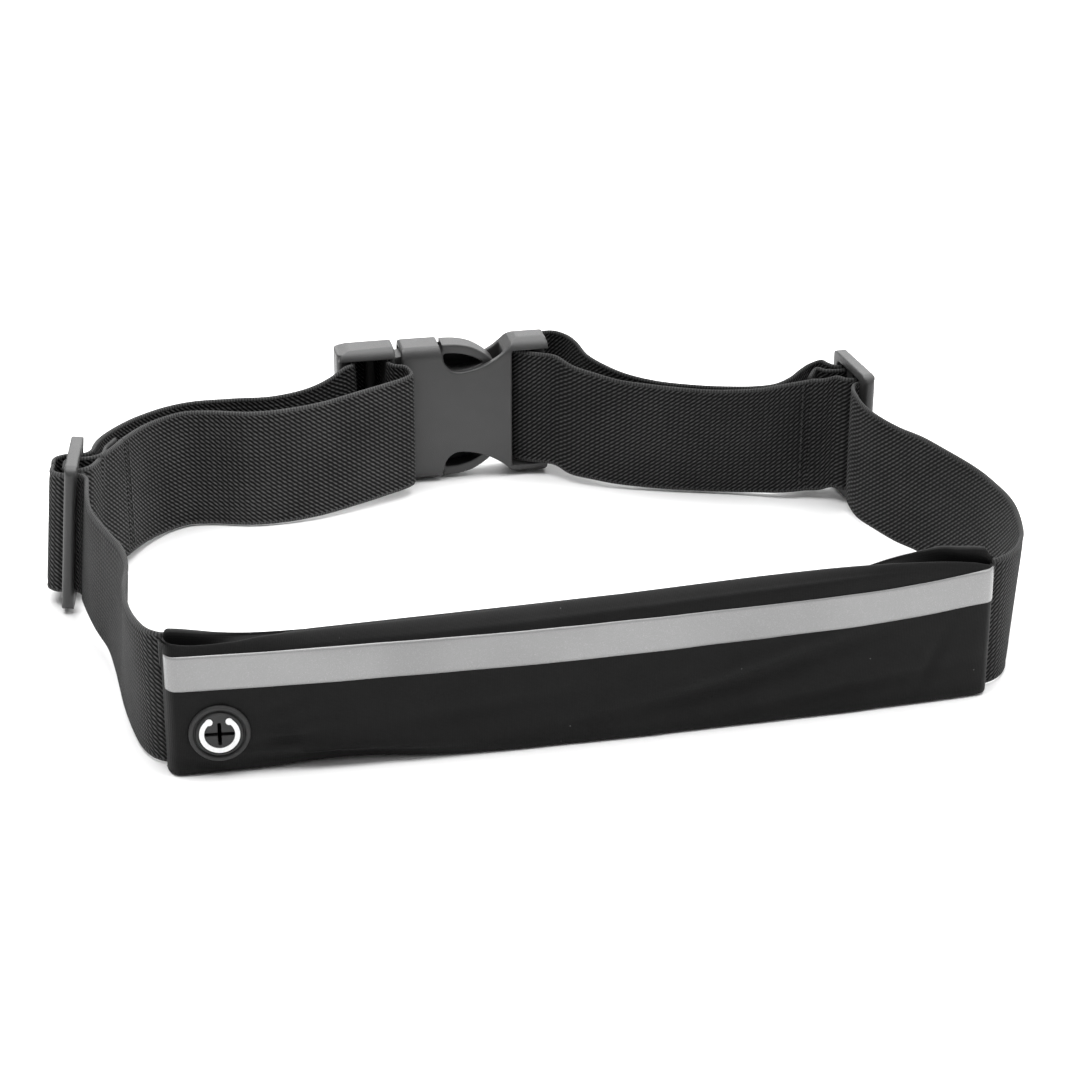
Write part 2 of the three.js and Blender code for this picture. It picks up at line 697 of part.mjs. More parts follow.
// A sprung arm: a hollow teardrop whose outer blade carries the latch shoulder behind the collar.
function arm(side) {
  const { root, rise, tip } = ARM;
  const lip = HALF - 2.8; // just inside the collar's ceiling
  const shoulder = FEMALE.collarEnd + 0.8;
  const z = (height) => side * height;
  const outer = new THREE.Shape();
  outer.moveTo(root - 3.4, z(rise - 2.2));
  outer.lineTo(root - 3.4, z(rise + 2.2));
  outer.lineTo(root + 3, z(lip - 0.2));
  outer.lineTo(shoulder, z(lip));
  outer.lineTo(shoulder, z(HALF - 0.7));
  outer.quadraticCurveTo(-3.5, z(HALF - 0.6), 0.5, z(20.8));
  outer.quadraticCurveTo(5, z(18.4), tip, z(15.6));
  outer.quadraticCurveTo(tip + 0.4, z(14), tip - 1.2, z(14));
  outer.quadraticCurveTo(0, z(11.8), -6, z(12));
  outer.lineTo(-14, z(13.2));
  outer.lineTo(root + 1, z(rise - 2.2));
  outer.closePath();
  const hollow = new THREE.Shape();
  hollow.moveTo(-9.2, z(19.4));
  hollow.quadraticCurveTo(-2, z(19.8), 3.6, z(15.6));
  hollow.quadraticCurveTo(-1, z(13.2), -6, z(13.4));
  hollow.quadraticCurveTo(-9.4, z(13.6), -9.2, z(19.4));
  return inPlace(cut(deepened(outer, BUCKLE.front + 2.7, BUCKLE.back - 2.7, 8), deepened(hollow, 0, 200, 8)));
}

// ---------------------------------------------------------------- the object
const group = new THREE.Group();
group.position.set(-CENTRE.x, -CENTRE.y, 0);

function add(name, solid, look) {
  const mesh = new THREE.Mesh(geometryOf(solid), look);
  mesh.name = name;
  group.add(mesh);
}

add("front_panel", frontPanel(), LYCRA);
add("back_panel", backPanel(), LYCRA);
add("bottom_gusset", bottomGusset(), LYCRA);
add("left_end_seam", endSeam(-1, BOW.left), LYCRA);
add("right_end_seam", endSeam(1, BOW.right), LYCRA);
add("reflective_strip", reflectiveStrip(), REFLECTIVE);

add("grommet_body", grommetBody(), RUBBER);
add("grommet_backing", grommetBacking(), RUBBER);
add("grommet_symbol", grommetSymbol(), SYMBOL);

add("zipper_tape_upper", zipTape(1), ZIPPER);
add("zipper_tape_lower", zipTape(-1), ZIPPER);
add("zipper_coil_upper", zipCoil(1), ZIPPER);
add("zipper_coil_lower", zipCoil(-1), ZIPPER);
add("zipper_stop_closed", zipStop(ZIP.to - 2.4), METAL);
add("zipper_stop_open", zipStop(ZIP.from + 1), METAL);
add("zipper_slider", zipSlider(), METAL);
add("zipper_pull", zipPull(), METAL);

add("left_strap_pouch_run", strap(LEFT_POUCH_RUN), WEBBING);
add("left_strap_outer", strap(LEFT_OUTER), WEBBING);
add("left_strap_inner", strap(LEFT_INNER), WEBBING);
add("left_strap_sewn_loop", strap(LEFT_SEWN), WEBBING);
add("right_strap_pouch_run", strap(RIGHT_POUCH_RUN), WEBBING);
add("right_strap_outer", strap(RIGHT_OUTER), WEBBING);
add("right_strap_inner", strap(RIGHT_INNER), WEBBING);
add("right_strap_sewn_loop", strap(RIGHT_SEWN), WEBBING);

add("left_strap_stitching", stitchRow([-111.6, 38.5], 64.5), THREAD);
add("right_strap_stitching", stitchRow([98.4, 42.5], -5.8), THREAD);

add("left_slider", glide(LEFT_GLIDE), PLASTIC);
add("right_slider", glide(RIGHT_GLIDE), PLASTIC);

add("buckle_female", buckleFemale(), PLASTIC);
add("buckle_male", buckleMale(), PLASTIC);
add("buckle_arm_upper", arm(1), PLASTIC);
add("buckle_arm_lower", arm(-1), PLASTIC);

export default group;
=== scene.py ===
# An elastic waist pack standing as a closed loop: the looks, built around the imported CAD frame.
import math

import bmesh
import bpy
import numpy as np
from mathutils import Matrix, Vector, noise


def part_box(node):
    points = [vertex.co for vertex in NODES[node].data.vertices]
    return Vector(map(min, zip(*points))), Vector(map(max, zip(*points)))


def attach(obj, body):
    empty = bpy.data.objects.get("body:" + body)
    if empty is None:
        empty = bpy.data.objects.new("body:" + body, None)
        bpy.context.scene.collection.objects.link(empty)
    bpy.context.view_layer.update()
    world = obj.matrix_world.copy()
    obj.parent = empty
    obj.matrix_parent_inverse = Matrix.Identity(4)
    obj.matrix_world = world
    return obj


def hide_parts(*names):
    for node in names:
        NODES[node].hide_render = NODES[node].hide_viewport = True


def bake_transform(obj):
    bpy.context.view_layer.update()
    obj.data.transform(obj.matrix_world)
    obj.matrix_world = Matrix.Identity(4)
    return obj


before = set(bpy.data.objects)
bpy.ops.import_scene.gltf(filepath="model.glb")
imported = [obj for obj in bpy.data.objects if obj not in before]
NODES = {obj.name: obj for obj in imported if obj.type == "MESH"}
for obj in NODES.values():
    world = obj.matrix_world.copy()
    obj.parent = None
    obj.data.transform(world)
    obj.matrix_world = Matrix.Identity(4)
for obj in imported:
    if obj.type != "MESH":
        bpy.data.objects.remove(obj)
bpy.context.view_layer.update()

MM = 0.001

# The drawing's zero: the middle of the back panel, whose outer face is 89.1 mm in front of it.
_low, _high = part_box("back_panel")
ORIGIN = Vector(((_low.x + _high.x) / 2, _high.y + 89.1 * MM, 0))


def at(x, y, z=0.0):
    """A place on the drawing, in millimetres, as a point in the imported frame."""
    return ORIGIN + Vector((x, y, z)) * MM


# ---------------------------------------------------------------- camera, floor and light
def look_from(obj, position, target):
    """Puts obj at position with its -Z axis towards target."""
    obj.location = position
    obj.rotation_euler = (target - position).to_track_quat("-Z", "Y").to_euler()


def make_camera():
    camera = bpy.data.objects.new("camera", bpy.data.cameras.new("camera"))
    bpy.context.scene.collection.objects.link(camera)
    look_from(camera, at(-142.9, -743.4, 359), at(11.5, 29, 0))
    camera.data.sensor_width = 36
    camera.data.lens = 93.33
    camera.data.clip_start = 0.01
    bpy.context.scene.camera = camera


def make_area_light(name, position, size, radiance):
    """A rectangular softbox. radiance is against the white world's 1."""
    light = bpy.data.lights.new(name, "AREA")
    light.shape = "RECTANGLE"
    light.size, light.size_y = size
    light.energy = radiance * math.pi * size[0] * size[1]
    obj = bpy.data.objects.new(name, light)
    obj.visible_camera = False
    bpy.context.scene.collection.objects.link(obj)
    look_from(obj, Vector(position), Vector((0, 0, 0.02)))


def make_studio():
    """Dim white surroundings, three softboxes and a sheet of white paper to stand on."""
    world = bpy.data.worlds.new("studio")
    world.use_nodes = True
    background = world.node_tree.nodes["Background"]
    background.inputs["Color"].default_value = (1, 1, 1, 1)
    background.inputs["Strength"].default_value = 0.25
    bpy.context.scene.world = world
    bpy.context.scene.view_settings.view_transform = "Standard"
    make_area_light("overhead_softbox", (0, 0.1, 1.3), (1.7, 1.5), 5.4)
    make_area_light("key_softbox", (1.15, -0.5, 0.85), (0.9, 0.7), 2.9)
    make_area_light("back_softbox", (0.35, 1.9, 1.0), (2.4, 1.2), 3.4)

    mesh = bpy.data.meshes.new("floor")
    reach = 6.0
    corners = [(-reach, -reach, 0), (reach, -reach, 0), (reach, reach, 0), (-reach, reach, 0)]
    mesh.from_pydata(corners, [], [(0, 1, 2, 3)])
    floor = bpy.data.objects.new("floor", mesh)
    bpy.context.scene.collection.objects.link(floor)
    floor.data.materials.append(paper())


# ---------------------------------------------------------------- material helpers
class Shader:
    """A node material with a Principled shader and short ways to add maths to it."""

    def __init__(self, name, **sockets):
        self.material = bpy.data.materials.new(name)
        self.material.use_nodes = True
        self.nodes = self.material.node_tree.nodes
        self.links = self.material.node_tree.links
        self.principled = self.nodes["Principled BSDF"]
        for key, value in sockets.items():
            self.principled.inputs[key.replace("_", " ").title().replace("Ior", "IOR")].default_value = value

    def node(self, kind, **settings):
        made = self.nodes.new(kind)
        for key, value in settings.items():
            setattr(made, key, value)
        return made

    def put(self, socket, value):
        if isinstance(value, bpy.types.NodeSocket):
            self.links.new(value, socket)
        else:
            socket.default_value = value

    def maths(self, operation, a, b=0.0, c=0.0):
        made = self.node("ShaderNodeMath", operation=operation)
        for socket, value in zip(made.inputs, (a, b, c)):
            self.put(socket, value)
        return made.outputs[0]

    def mix(self, factor, a, b):
        made = self.node("ShaderNodeMix", data_type="FLOAT")
        self.put(made.inputs["Factor"], factor)
        self.put(made.inputs["A"], a)
        self.put(made.inputs["B"], b)
        return made.outputs["Result"]

    def wave(self, phase, period):
        """A sine from 0 to 1 whose period is in metres of phase."""
        turns = self.maths("MULTIPLY", phase, 2 * math.pi / period)
        return self.maths("MULTIPLY_ADD", self.maths("SINE", turns), 0.5, 0.5)

    def step(self, value, low, high):
        made = self.node("ShaderNodeMapRange", interpolation_type="SMOOTHSTEP")
        self.put(made.inputs["Value"], value)
        made.inputs["From Min"].default_value = low
        made.inputs["From Max"].default_value = high
        return made.outputs["Result"]

    def uv(self):
        split = self.node("ShaderNodeSeparateXYZ")
        self.links.new(self.node("ShaderNodeUVMap", uv_map="UVMap").outputs[0], split.inputs[0])
        return split.outputs[0], split.outputs[1]

    def noise(self, scale, detail=2.0, roughness=0.5):
        """Noise on object coordinates; scale is the features' size in metres."""
        made = self.node("ShaderNodeTexNoise")
        self.links.new(self.node("ShaderNodeTexCoord").outputs["Object"], made.inputs["Vector"])
        made.inputs["Scale"].default_value = 1 / scale
        made.inputs["Detail"].default_value = detail
        made.inputs["Roughness"].default_value = roughness
        return made.outputs["Fac"]

    def specks(self, spacing, radius, share):
        """Small round dots, about spacing apart, of which only a share are kept."""
        cells = self.node("ShaderNodeTexVoronoi")
        self.links.new(self.node("ShaderNodeTexCoord").outputs["Object"], cells.inputs["Vector"])
        cells.inputs["Scale"].default_value = 1 / spacing
        dot = self.maths("LESS_THAN", cells.outputs["Distance"], radius / spacing)
        split = self.node("ShaderNodeSeparateColor")
        self.links.new(cells.outputs["Color"], split.inputs[0])
        return self.maths("MULTIPLY", dot, self.maths("LESS_THAN", split.outputs[0], share))

    def ramp(self, value, *stops):
        """Colours along a value: each stop is (position, grey or (r, g, b))."""
        made = self.node("ShaderNodeValToRGB")
        self.put(made.inputs[0], value)
        elements = made.color_ramp.elements
        while len(elements) < len(stops):
            elements.new(0.5)
        for element, (position, colour) in zip(elements, stops):
            rgb = colour if isinstance(colour, tuple) else (colour,) * 3
            element.position = position
            element.color = (*rgb, 1)
        return made.outputs[0]

    def colour(self, socket):
        self.links.new(socket, self.principled.inputs["Base Color"])

    def roughness(self, socket):
        self.links.new(socket, self.principled.inputs["Roughness"])

    def bump(self, height, distance, strength):
        made = self.node("ShaderNodeBump")
        made.inputs["Strength"].default_value = strength
        made.inputs["Distance"].default_value = distance
        self.links.new(height, made.inputs["Height"])
        self.links.new(made.outputs[0], self.principled.inputs["Normal"])


# ---------------------------------------------------------------- materials
def paper():
    s = Shader("studio_paper", roughness=0.9)
    s.colour(s.ramp(s.noise(0.4), (0.3, 0.93), (0.7, 0.95)))
    return s.material


COURSE, WALE = 1.40 * MM, 1.66 * MM  # one stitch of the webbing, across and along its length


def webbing_material(name, way, lightest):
    """Elastic webbing: slanted stitches that join into diagonal ribs, between two plain selvedges whose paler
    colour is partly a painted highlight.

    way is 1 where the ribs fall to the right and -1 where they rise; lightest is the yarn's palest grey, set
    lower as painted shade for the right-hand straps.
    """
    s = Shader(name, roughness=0.8, sheen_weight=0.04, sheen_roughness=0.4, specular_ior_level=0.12)
    along, across = s.uv()
    wobble = s.maths("MULTIPLY", s.maths("SUBTRACT", s.noise(2.5 * MM, 2), 0.5), 0.5)
    a = s.maths("MULTIPLY_ADD", along, way * 2 * math.pi / WALE, wobble)
    b = s.maths("MULTIPLY_ADD", across, 2 * math.pi / COURSE, wobble)
    rib = s.maths("COSINE", s.maths("ADD", a, b))
    row = s.maths("COSINE", b)
    column = s.maths("COSINE", a)
    yarn = s.maths("SUBTRACT", s.noise(0.3 * MM, 2, 0.65), 0.5)
    weave = s.maths("MULTIPLY_ADD", rib, 0.36, 0.5)
    weave = s.maths("MULTIPLY_ADD", row, 0.11, weave)
    weave = s.maths("MULTIPLY_ADD", column, 0.035, weave)
    weave = s.maths("MULTIPLY_ADD", yarn, 0.5, weave)
    edge = s.step(s.maths("ABSOLUTE", s.maths("SUBTRACT", across, 19 * MM)), 17.7 * MM, 18.1 * MM)
    # The selvedge bands get a raised height that bumps them and also colours them paler: the bump is the
    # selvedge, and the paler colour is partly a painted highlight along the strap's edges.
    selvedge_and_highlight = s.maths("MULTIPLY_ADD", s.wave(along, 0.9 * MM), 0.25, s.maths("MULTIPLY_ADD", yarn, 0.5, 0.6))
    height = s.mix(edge, weave, selvedge_and_highlight)
    patches = s.maths("MULTIPLY_ADD", s.noise(17 * MM, 2), 0.24, -0.12)
    s.colour(s.ramp(s.maths("ADD", height, patches), (0.2, 0.0015), (0.5, lightest / 10), (0.95, lightest)))
    s.bump(height, 0.35 * MM, 0.8)
    return s.material


def lycra_material():
    """Matt stretch knit: very fine rows of loops, faint patches and a few specks of lint."""
    s = Shader("stretch_fabric", roughness=0.6, sheen_weight=0.02, sheen_roughness=0.4, specular_ior_level=0.13)
    along, across = s.uv()
    loops = s.maths("MULTIPLY", s.wave(along, 0.45 * MM), s.wave(across, 0.38 * MM))
    patches = s.noise(14 * MM, 3)
    grain = s.noise(0.35 * MM, 2, 0.7)
    tone = s.maths("MULTIPLY_ADD", patches, 0.4, s.maths("MULTIPLY", loops, 0.15))
    tone = s.maths("MULTIPLY_ADD", grain, 0.35, tone)
    tone = s.maths("MULTIPLY_ADD", s.specks(6 * MM, 0.2 * MM, 0.45), 1.4, tone)
    s.colour(s.ramp(tone, (0.2, 0.003), (0.6, 0.0075), (1.0, 0.06)))
    s.bump(s.maths("MULTIPLY_ADD", grain, 0.7, loops), 0.07 * MM, 0.7)
    return s.material


def reflective_material():
    """Heat-bonded silver-grey film: tiny glass beads, with a faintly uneven tone."""
    s = Shader("reflective_film", roughness=0.5, metallic=0.15, specular_ior_level=0.5)
    beads = s.noise(0.18 * MM, 2, 0.7)
    tone = s.maths("MULTIPLY_ADD", beads, 0.35, s.maths("MULTIPLY", s.noise(30 * MM, 2), 0.65))
    s.colour(s.ramp(tone, (0.2, 0.215), (0.5, 0.27), (0.8, 0.325)))
    s.roughness(s.step(beads, 0.1, 1.6))
    s.bump(beads, 0.02 * MM, 0.5)
    return s.material


def plastic_material():
    """Spark-eroded moulded acetal: fine grain, with a painted highlight that makes its sharper edges paler."""
    s = Shader("buckle_plastic", specular_ior_level=0.55)
    grain = s.noise(0.28 * MM, 3, 0.65)
    cloud = s.noise(9 * MM, 2)
    # Painted highlight: the colour turns paler where the surface is sharply convex, along the moulding's edges.
    pointiness = s.node("ShaderNodeNewGeometry").outputs["Pointiness"]
    paler_edges = s.step(pointiness, 0.52, 0.6)
    tone = s.maths("MULTIPLY_ADD", cloud, 0.35, s.maths("MULTIPLY", grain, 0.35))
    tone = s.maths("MULTIPLY_ADD", paler_edges, 0.25, tone)
    s.colour(s.ramp(tone, (0.1, 0.023), (0.4, 0.032), (0.9, 0.058)))
    s.roughness(s.maths("MULTIPLY_ADD", grain, 0.18, 0.36))
    s.bump(grain, 0.09 * MM, 0.8)
    return s.material


def painted_shade_plastic_material():
    """The buckle's moulding darkened with painted shade, for the walls inside its hollows; matt."""
    s = Shader("buckle_plastic_painted_shade", specular_ior_level=0.2)
    grain = s.noise(0.4 * MM, 3, 0.6)
    # Painted shade: a much darker grey than the buckle plastic, standing for the shade inside the buckle.
    s.colour(s.ramp(grain, (0.2, 0.004), (0.8, 0.011)))
    s.roughness(s.maths("MULTIPLY_ADD", grain, 0.2, 0.6))
    s.bump(grain, 0.05 * MM, 0.6)
    return s.material


def rubber_material():
    """Black moulded rubber, satin, with a faint cloudiness."""
    s = Shader("port_rubber", specular_ior_level=0.4)
    grain = s.noise(0.25 * MM, 3, 0.6)
    cloud = s.noise(4 * MM, 2)
    tone = s.maths("MULTIPLY_ADD", cloud, 0.5, s.maths("MULTIPLY", grain, 0.4))
    s.colour(s.ramp(tone, (0.2, 0.013), (0.8, 0.03)))
    s.roughness(s.maths("MULTIPLY_ADD", grain, 0.2, 0.5))
    s.bump(grain, 0.04 * MM, 0.5)
    return s.material


def symbol_material():
    s = Shader("symbol_print", specular_ior_level=0.4)
    fine = s.noise(0.5 * MM, 3)
    s.colour(s.ramp(fine, (0.3, 0.82), (0.7, 0.9)))
    s.roughness(s.maths("MULTIPLY_ADD", fine, 0.2, 0.4))
    s.bump(fine, 0.02 * MM, 0.4)
    return s.material


def thread_material():
    """Black sewing thread, whose twist shows as fine bands."""
    s = Shader("stitching_thread", roughness=0.6, sheen_weight=0.2, specular_ior_level=0.4)
    split = s.node("ShaderNodeSeparateXYZ")
    s.links.new(s.node("ShaderNodeTexCoord").outputs["Object"], split.inputs[0])
    twist = s.wave(split.outputs[2], 0.5 * MM)
    tone = s.maths("MULTIPLY_ADD", s.noise(0.3 * MM), 0.4, s.maths("MULTIPLY", twist, 0.5))
    s.colour(s.ramp(tone, (0.1, 0.002), (0.9, 0.012)))
    s.bump(twist, 0.05 * MM, 0.6)
    return s.material


def tape_material():
    """Woven zipper tape: a fine plain weave."""
    s = Shader("zipper_tape", roughness=0.85, specular_ior_level=0.3)
    along, across = s.uv()
    weave = s.maths("MULTIPLY", s.wave(along, 0.5 * MM), s.wave(across, 0.6 * MM))
    tone = s.maths("MULTIPLY_ADD", s.noise(0.3 * MM), 0.4, s.maths("MULTIPLY", weave, 0.6))
    s.colour(s.ramp(tone, (0.1, 0.006), (0.9, 0.035)))
    s.bump(tone, 0.08 * MM, 0.7)
    return s.material


def coil_material():
    s = Shader("zipper_coil", specular_ior_level=0.5)
    fine = s.noise(0.6 * MM, 2)
    s.colour(s.ramp(fine, (0.2, 0.012), (0.8, 0.03)))
    s.roughness(s.maths("MULTIPLY_ADD", fine, 0.2, 0.3))
    s.bump(fine, 0.02 * MM, 0.4)
    return s.material


def painted_metal_material():
    """Black painted die-cast zinc, rubbed paler along its edges."""
    s = Shader("zipper_metal", metallic=0.4, specular_ior_level=0.5)
    paler_edges = s.step(s.node("ShaderNodeNewGeometry").outputs["Pointiness"], 0.53, 0.62)
    fine = s.noise(0.4 * MM, 3)
    tone = s.maths("MULTIPLY_ADD", paler_edges, 0.6, s.maths("MULTIPLY", fine, 0.3))
    s.colour(s.ramp(tone, (0.1, 0.02), (0.9, 0.16)))
    s.roughness(s.maths("MULTIPLY_ADD", fine, 0.2, 0.3))
    s.bump(fine, 0.03 * MM, 0.5)
    return s.material


# One yarn on both sides: the right-hand straps' palest grey is set lower than the left's as painted shade.
WEBBING_LEFT = webbing_material("elastic_webbing_left", 1, 0.1)
WEBBING_RIGHT_SHADED = webbing_material("elastic_webbing_right_shaded", -1, 0.068)
LYCRA = lycra_material()
FILM = reflective_material()
PLASTIC = plastic_material()
PLASTIC_PAINTED_SHADE = painted_shade_plastic_material()
RUBBER = rubber_material()
SYMBOL = symbol_material()
THREAD = thread_material()
TAPE = tape_material()
COIL = coil_material()
METAL = painted_metal_material()


# ---------------------------------------------------------------- mesh helpers
def mesh_object(name, vertices, faces, material, uvs=None):
    """A smooth-shaded object. uvs lists one (u, v) for each face's corner, face by face."""
    mesh = bpy.data.meshes.new(name)
    mesh.from_pydata([tuple(v) for v in vertices], [], faces)
    if uvs is not None:
        layer = mesh.uv_layers.new(name="UVMap")
        layer.data.foreach_set("uv", np.array(uvs, np.float32).ravel())
    mesh.materials.append(material)
    mesh.shade_smooth()
    obj = bpy.data.objects.new(name, mesh)
    bpy.context.scene.collection.objects.link(obj)
    return obj


def modified(obj, kind, **settings):
    modifier = obj.modifiers.new(kind.lower(), kind)
    for key, value in settings.items():
        setattr(modifier, key, value)
    return modifier


def applied(obj):
    """Turns the object's modifiers into its mesh."""
    graph = bpy.context.evaluated_depsgraph_get()
    mesh = bpy.data.meshes.new_from_object(obj.evaluated_get(graph), depsgraph=graph)
    old = obj.data
    obj.modifiers.clear()
    obj.data = mesh
    mesh.name = obj.name
    if old.users == 0:
        bpy.data.meshes.remove(old)


def spline(points, t):
    """Centripetal Catmull-Rom through points (numpy rows) at t, from 0 to len(points) - 1."""
    last = len(points) - 1
    i = min(int(t), last - 1)
    f = t - i
    p1, p2 = points[i], points[i + 1]
    p0 = points[i - 1] if i > 0 else 2 * p1 - p2
    p3 = points[i + 2] if i + 2 <= last else 2 * p2 - p1

    def chord(a, b):
        return max(np.linalg.norm((b - a)[:3]) ** 0.5, 1e-6)

    d1, d2, d3 = chord(p0, p1), chord(p1, p2), chord(p2, p3)
    m1 = (p1 - p0) / d1 - (p2 - p0) / (d1 + d2) + (p2 - p1) / d2
    m2 = (p2 - p1) / d2 - (p3 - p1) / (d2 + d3) + (p3 - p2) / d3
    m1, m2 = m1 * d2, m2 * d2
    a = 2 * (p1 - p2) + m1 + m2
    b = -3 * (p1 - p2) - 2 * m1 - m2
    return a * f**3 + b * f**2 + m1 * f + p1


def interpolated(table, x):
    """A smooth value at x from rows (x, value)."""
    xs = [row[0] for row in table]
    if x <= xs[0]:
        return table[0][1]
    if x >= xs[-1]:
        return table[-1][1]
    i = next(k for k in range(len(xs) - 1) if xs[k] <= x <= xs[k + 1])

    def slope(k):
        if k in (0, len(xs) - 1):
            return 0
        return (table[k + 1][1] - table[k - 1][1]) / (xs[k + 1] - xs[k - 1])

    span = xs[i + 1] - xs[i]
    f = (x - xs[i]) / span
    a, b = table[i][1], table[i + 1][1]
    m, n = slope(i) * span, slope(i + 1) * span
    value = (2 * f**3 - 3 * f**2 + 1) * a + (3 * f**2 - 2 * f**3) * b
    return value + (f**3 - 2 * f**2 + f) * m + (f**3 - f**2) * n


# ---------------------------------------------------------------- webbing
WIDTH, LIFT = 38.0, 4.7
# Half thickness across the width: a rounded bead at each selvedge and a flat middle.
SELVEDGE = [
    (0, 0.02), (0.08, 0.3), (0.3, 0.5), (0.65, 0.62), (1.05, 0.6), (1.45, 0.5), (1.9, 0.52), (3.2, 0.62),
]
ACROSS = SELVEDGE + [(w, 0.66) for w in (7, 11, 15, 19, 23, 27, 31)]
ACROSS += [(WIDTH - w, half) for w, half in reversed(SELVEDGE)]


def webbing(name, points, material, start=0.0, end=None, step=1.1):
    """A strap through points [x, y, lower edge, lean x, lean y], from t=start to t=end."""
    rows = np.array([[p[0], p[1], (p[2] if len(p) > 2 and p[2] is not None else LIFT)] +
                     [(p[k] if len(p) > k else 0.0) for k in (3, 4)] for p in points], float)
    end = len(rows) - 1 if end is None else end
    samples = [start]
    while samples[-1] < end - 1e-6:
        i = min(int(samples[-1] + 1e-6), len(rows) - 2)
        reach = max(math.dist(rows[i][:2], rows[i + 1][:2]), 0.5)
        samples.append(min(samples[-1] + step / reach, i + 1.0 if samples[-1] < i + 1 - 1e-6 else end, end))
    whole = [spline(rows, t) for t in np.linspace(0, start, 60)] if start > 0 else [spline(rows, 0.0)]
    run = sum(math.dist(a[:2], b[:2]) for a, b in zip(whole, whole[1:]))
    vertices, lengths = [], []
    previous = None
    for t in samples:
        here = spline(rows, t)
        ahead = spline(rows, min(t + 0.02, len(rows) - 1)) - spline(rows, max(t - 0.02, 0))
        ahead = Vector((ahead[0], ahead[1], 0)).normalized()
        side = Vector((ahead.y, -ahead.x, 0))
        if previous is not None:
            run += math.dist(previous[:2], here[:2])
        previous = here
        lengths.append(run * MM)
        lean = Vector((here[3], here[4], 0))
        up = (lean + Vector((0, 0, math.sqrt(WIDTH**2 - lean.length_squared)))) / WIDTH
        foot = Vector((here[0], here[1], here[2])) - lean / 2
        ripple = 0.28 * noise.noise(Vector((run / 17, len(points) * 3.7, 0)))
        ring = []
        for sign, order in ((1, ACROSS), (-1, ACROSS[::-1])):
            for w, half in order:
                bow = (w / WIDTH - 0.5) ** 2 * 4 - 0.4
                cup = 0.35 * bow * noise.noise(Vector((run / 23, 9.1, len(points))))
                ring.append(foot + up * (w + ripple * (w / WIDTH)) + side * (sign * half + cup))
        vertices.append(ring)
    count = len(vertices[0])
    half = count // 2
    widths = [w * MM for w, _ in ACROSS] + [w * MM for w, _ in ACROSS[::-1]]
    faces, uvs = [], []
    for i in range(len(vertices) - 1):
        for j in range(count):
            k = (j + 1) % count
            faces.append((i * count + j, i * count + k, (i + 1) * count + k, (i + 1) * count + j))
            way = 1 if j < half else -1
            u0, u1 = way * lengths[i], way * lengths[i + 1]
            uvs += [(u0, widths[j]), (u0, widths[k]), (u1, widths[k]), (u1, widths[j])]
    for ring_start, flip in ((0, False), ((len(vertices) - 1) * count, True)):
        for j in range(half - 1):
            quad = [ring_start + j, ring_start + count - 1 - j, ring_start + count - 2 - j, ring_start + j + 1]
            faces.append(tuple(quad[::-1] if flip else quad))
            uvs += [(0, widths[min(j + (k in (2, 3)), half - 1)]) for k in range(4)]
    flat = [at(*v) for ring in vertices for v in ring]
    obj = mesh_object(name, flat, faces, material, uvs)
    fix_normals(obj)
    return obj


def fix_normals(obj):
    """Turns the faces the same way, outwards."""
    bm = bmesh.new()
    bm.from_mesh(obj.data)
    bmesh.ops.recalc_face_normals(bm, faces=bm.faces)
    bm.to_mesh(obj.data)
    bm.free()


class Glide:
    """A slider. Places (s, n) run along its width, away from the pouch, and out of the loop."""

    def __init__(self, x, y, turn, tilt, slack, outward):
        turn, tilt = math.radians(turn), math.radians(tilt)
        self.x, self.y, self.slack = x, y, slack
        self.along = (-math.sin(turn), math.cos(turn))
        self.out = (outward * math.cos(turn), outward * math.sin(turn))
        self.lean = -WIDTH * math.sin(tilt)

    def at(self, s, n):
        """The strap point [x, y, lower edge, lean x, lean y] there, at the usual lower edge."""
        x = self.x + s * self.along[0] + n * self.out[0]
        y = self.y + s * self.along[1] + n * self.out[1]
        return [x, y, None, self.lean * self.out[0], self.lean * self.out[1]]

    def through_slot(self, way):
        """The running strap from the bar's outside through one slot and along inside the rail."""
        run_s, run_n = 7.2, 4.75
        places = [
            (0.2, run_n + self.slack),
            (4.4, run_n - 0.1 + self.slack),
            (run_s - 0.3, run_n - 2.2 + self.slack / 2),
            (run_s, -0.2),
            (run_s + 0.9, -2.9),
            (run_s + 3.4, -4.4),
            (13.5, -4.7),
        ]
        return [self.at(way * s, n) for s, n in places]

    def round_bar(self):
        """The sewn loop round the middle bar, from the near slot to the far one."""
        s, n = 4.4, 2.65
        places = [(-s, -1.2), (-s, 1), (-2.6, n), (0, n + 0.05), (2.6, n), (s, 1), (s, -1.2)]
        return [self.at(*place) for place in places]


LEFT = Glide(-130.4, 17, -7.5, 5, 1.3, -1)
RIGHT = Glide(114.3, 41.8, 4.8, 0, 0, 1)

LEFT_FRONT = [
    [-103.5, -90.7, 0.3],
    [-109.5, -90.7, 0.3],
    [-112.4, -90.4, 0.35],
    [-115.4, -88, 0.5],
    [-117.8, -82.5, 0.6],
    [-119.6, -72, 0.5],
    [-120.2, -59, 0.5, 1.5],
    [-119.8, -47, 0.5, 3.5],
    [-120.4, -36, 0.6, 3.5],
    [-122.8, -24, 1.2, 1],
    [-126.2, -11.5, 2.4, 0.5],
    *LEFT.through_slot(-1)[::-1],
]
LEFT_OUTER = [
    *LEFT.through_slot(1),
    [-121, 38, 3, 1],
    [-115.5, 48, 2],
    [-108, 57.5, 1.2],
    [-99, 65, 0.8],
    [-90, 68.4, 0.6],
    [-78.5, 68.8, 0.6],
    [-66, 67.6, 0.8],
    [-54.5, 70, 1.6],
    [-46.5, 74.8, 2.8],
    [-41.2, 78.2],
    [-38.6, 80.2],
    [-37.9, 84],
    [-37.5, 88],
    [-35, 90.8],
    [-32.6, 91],
]
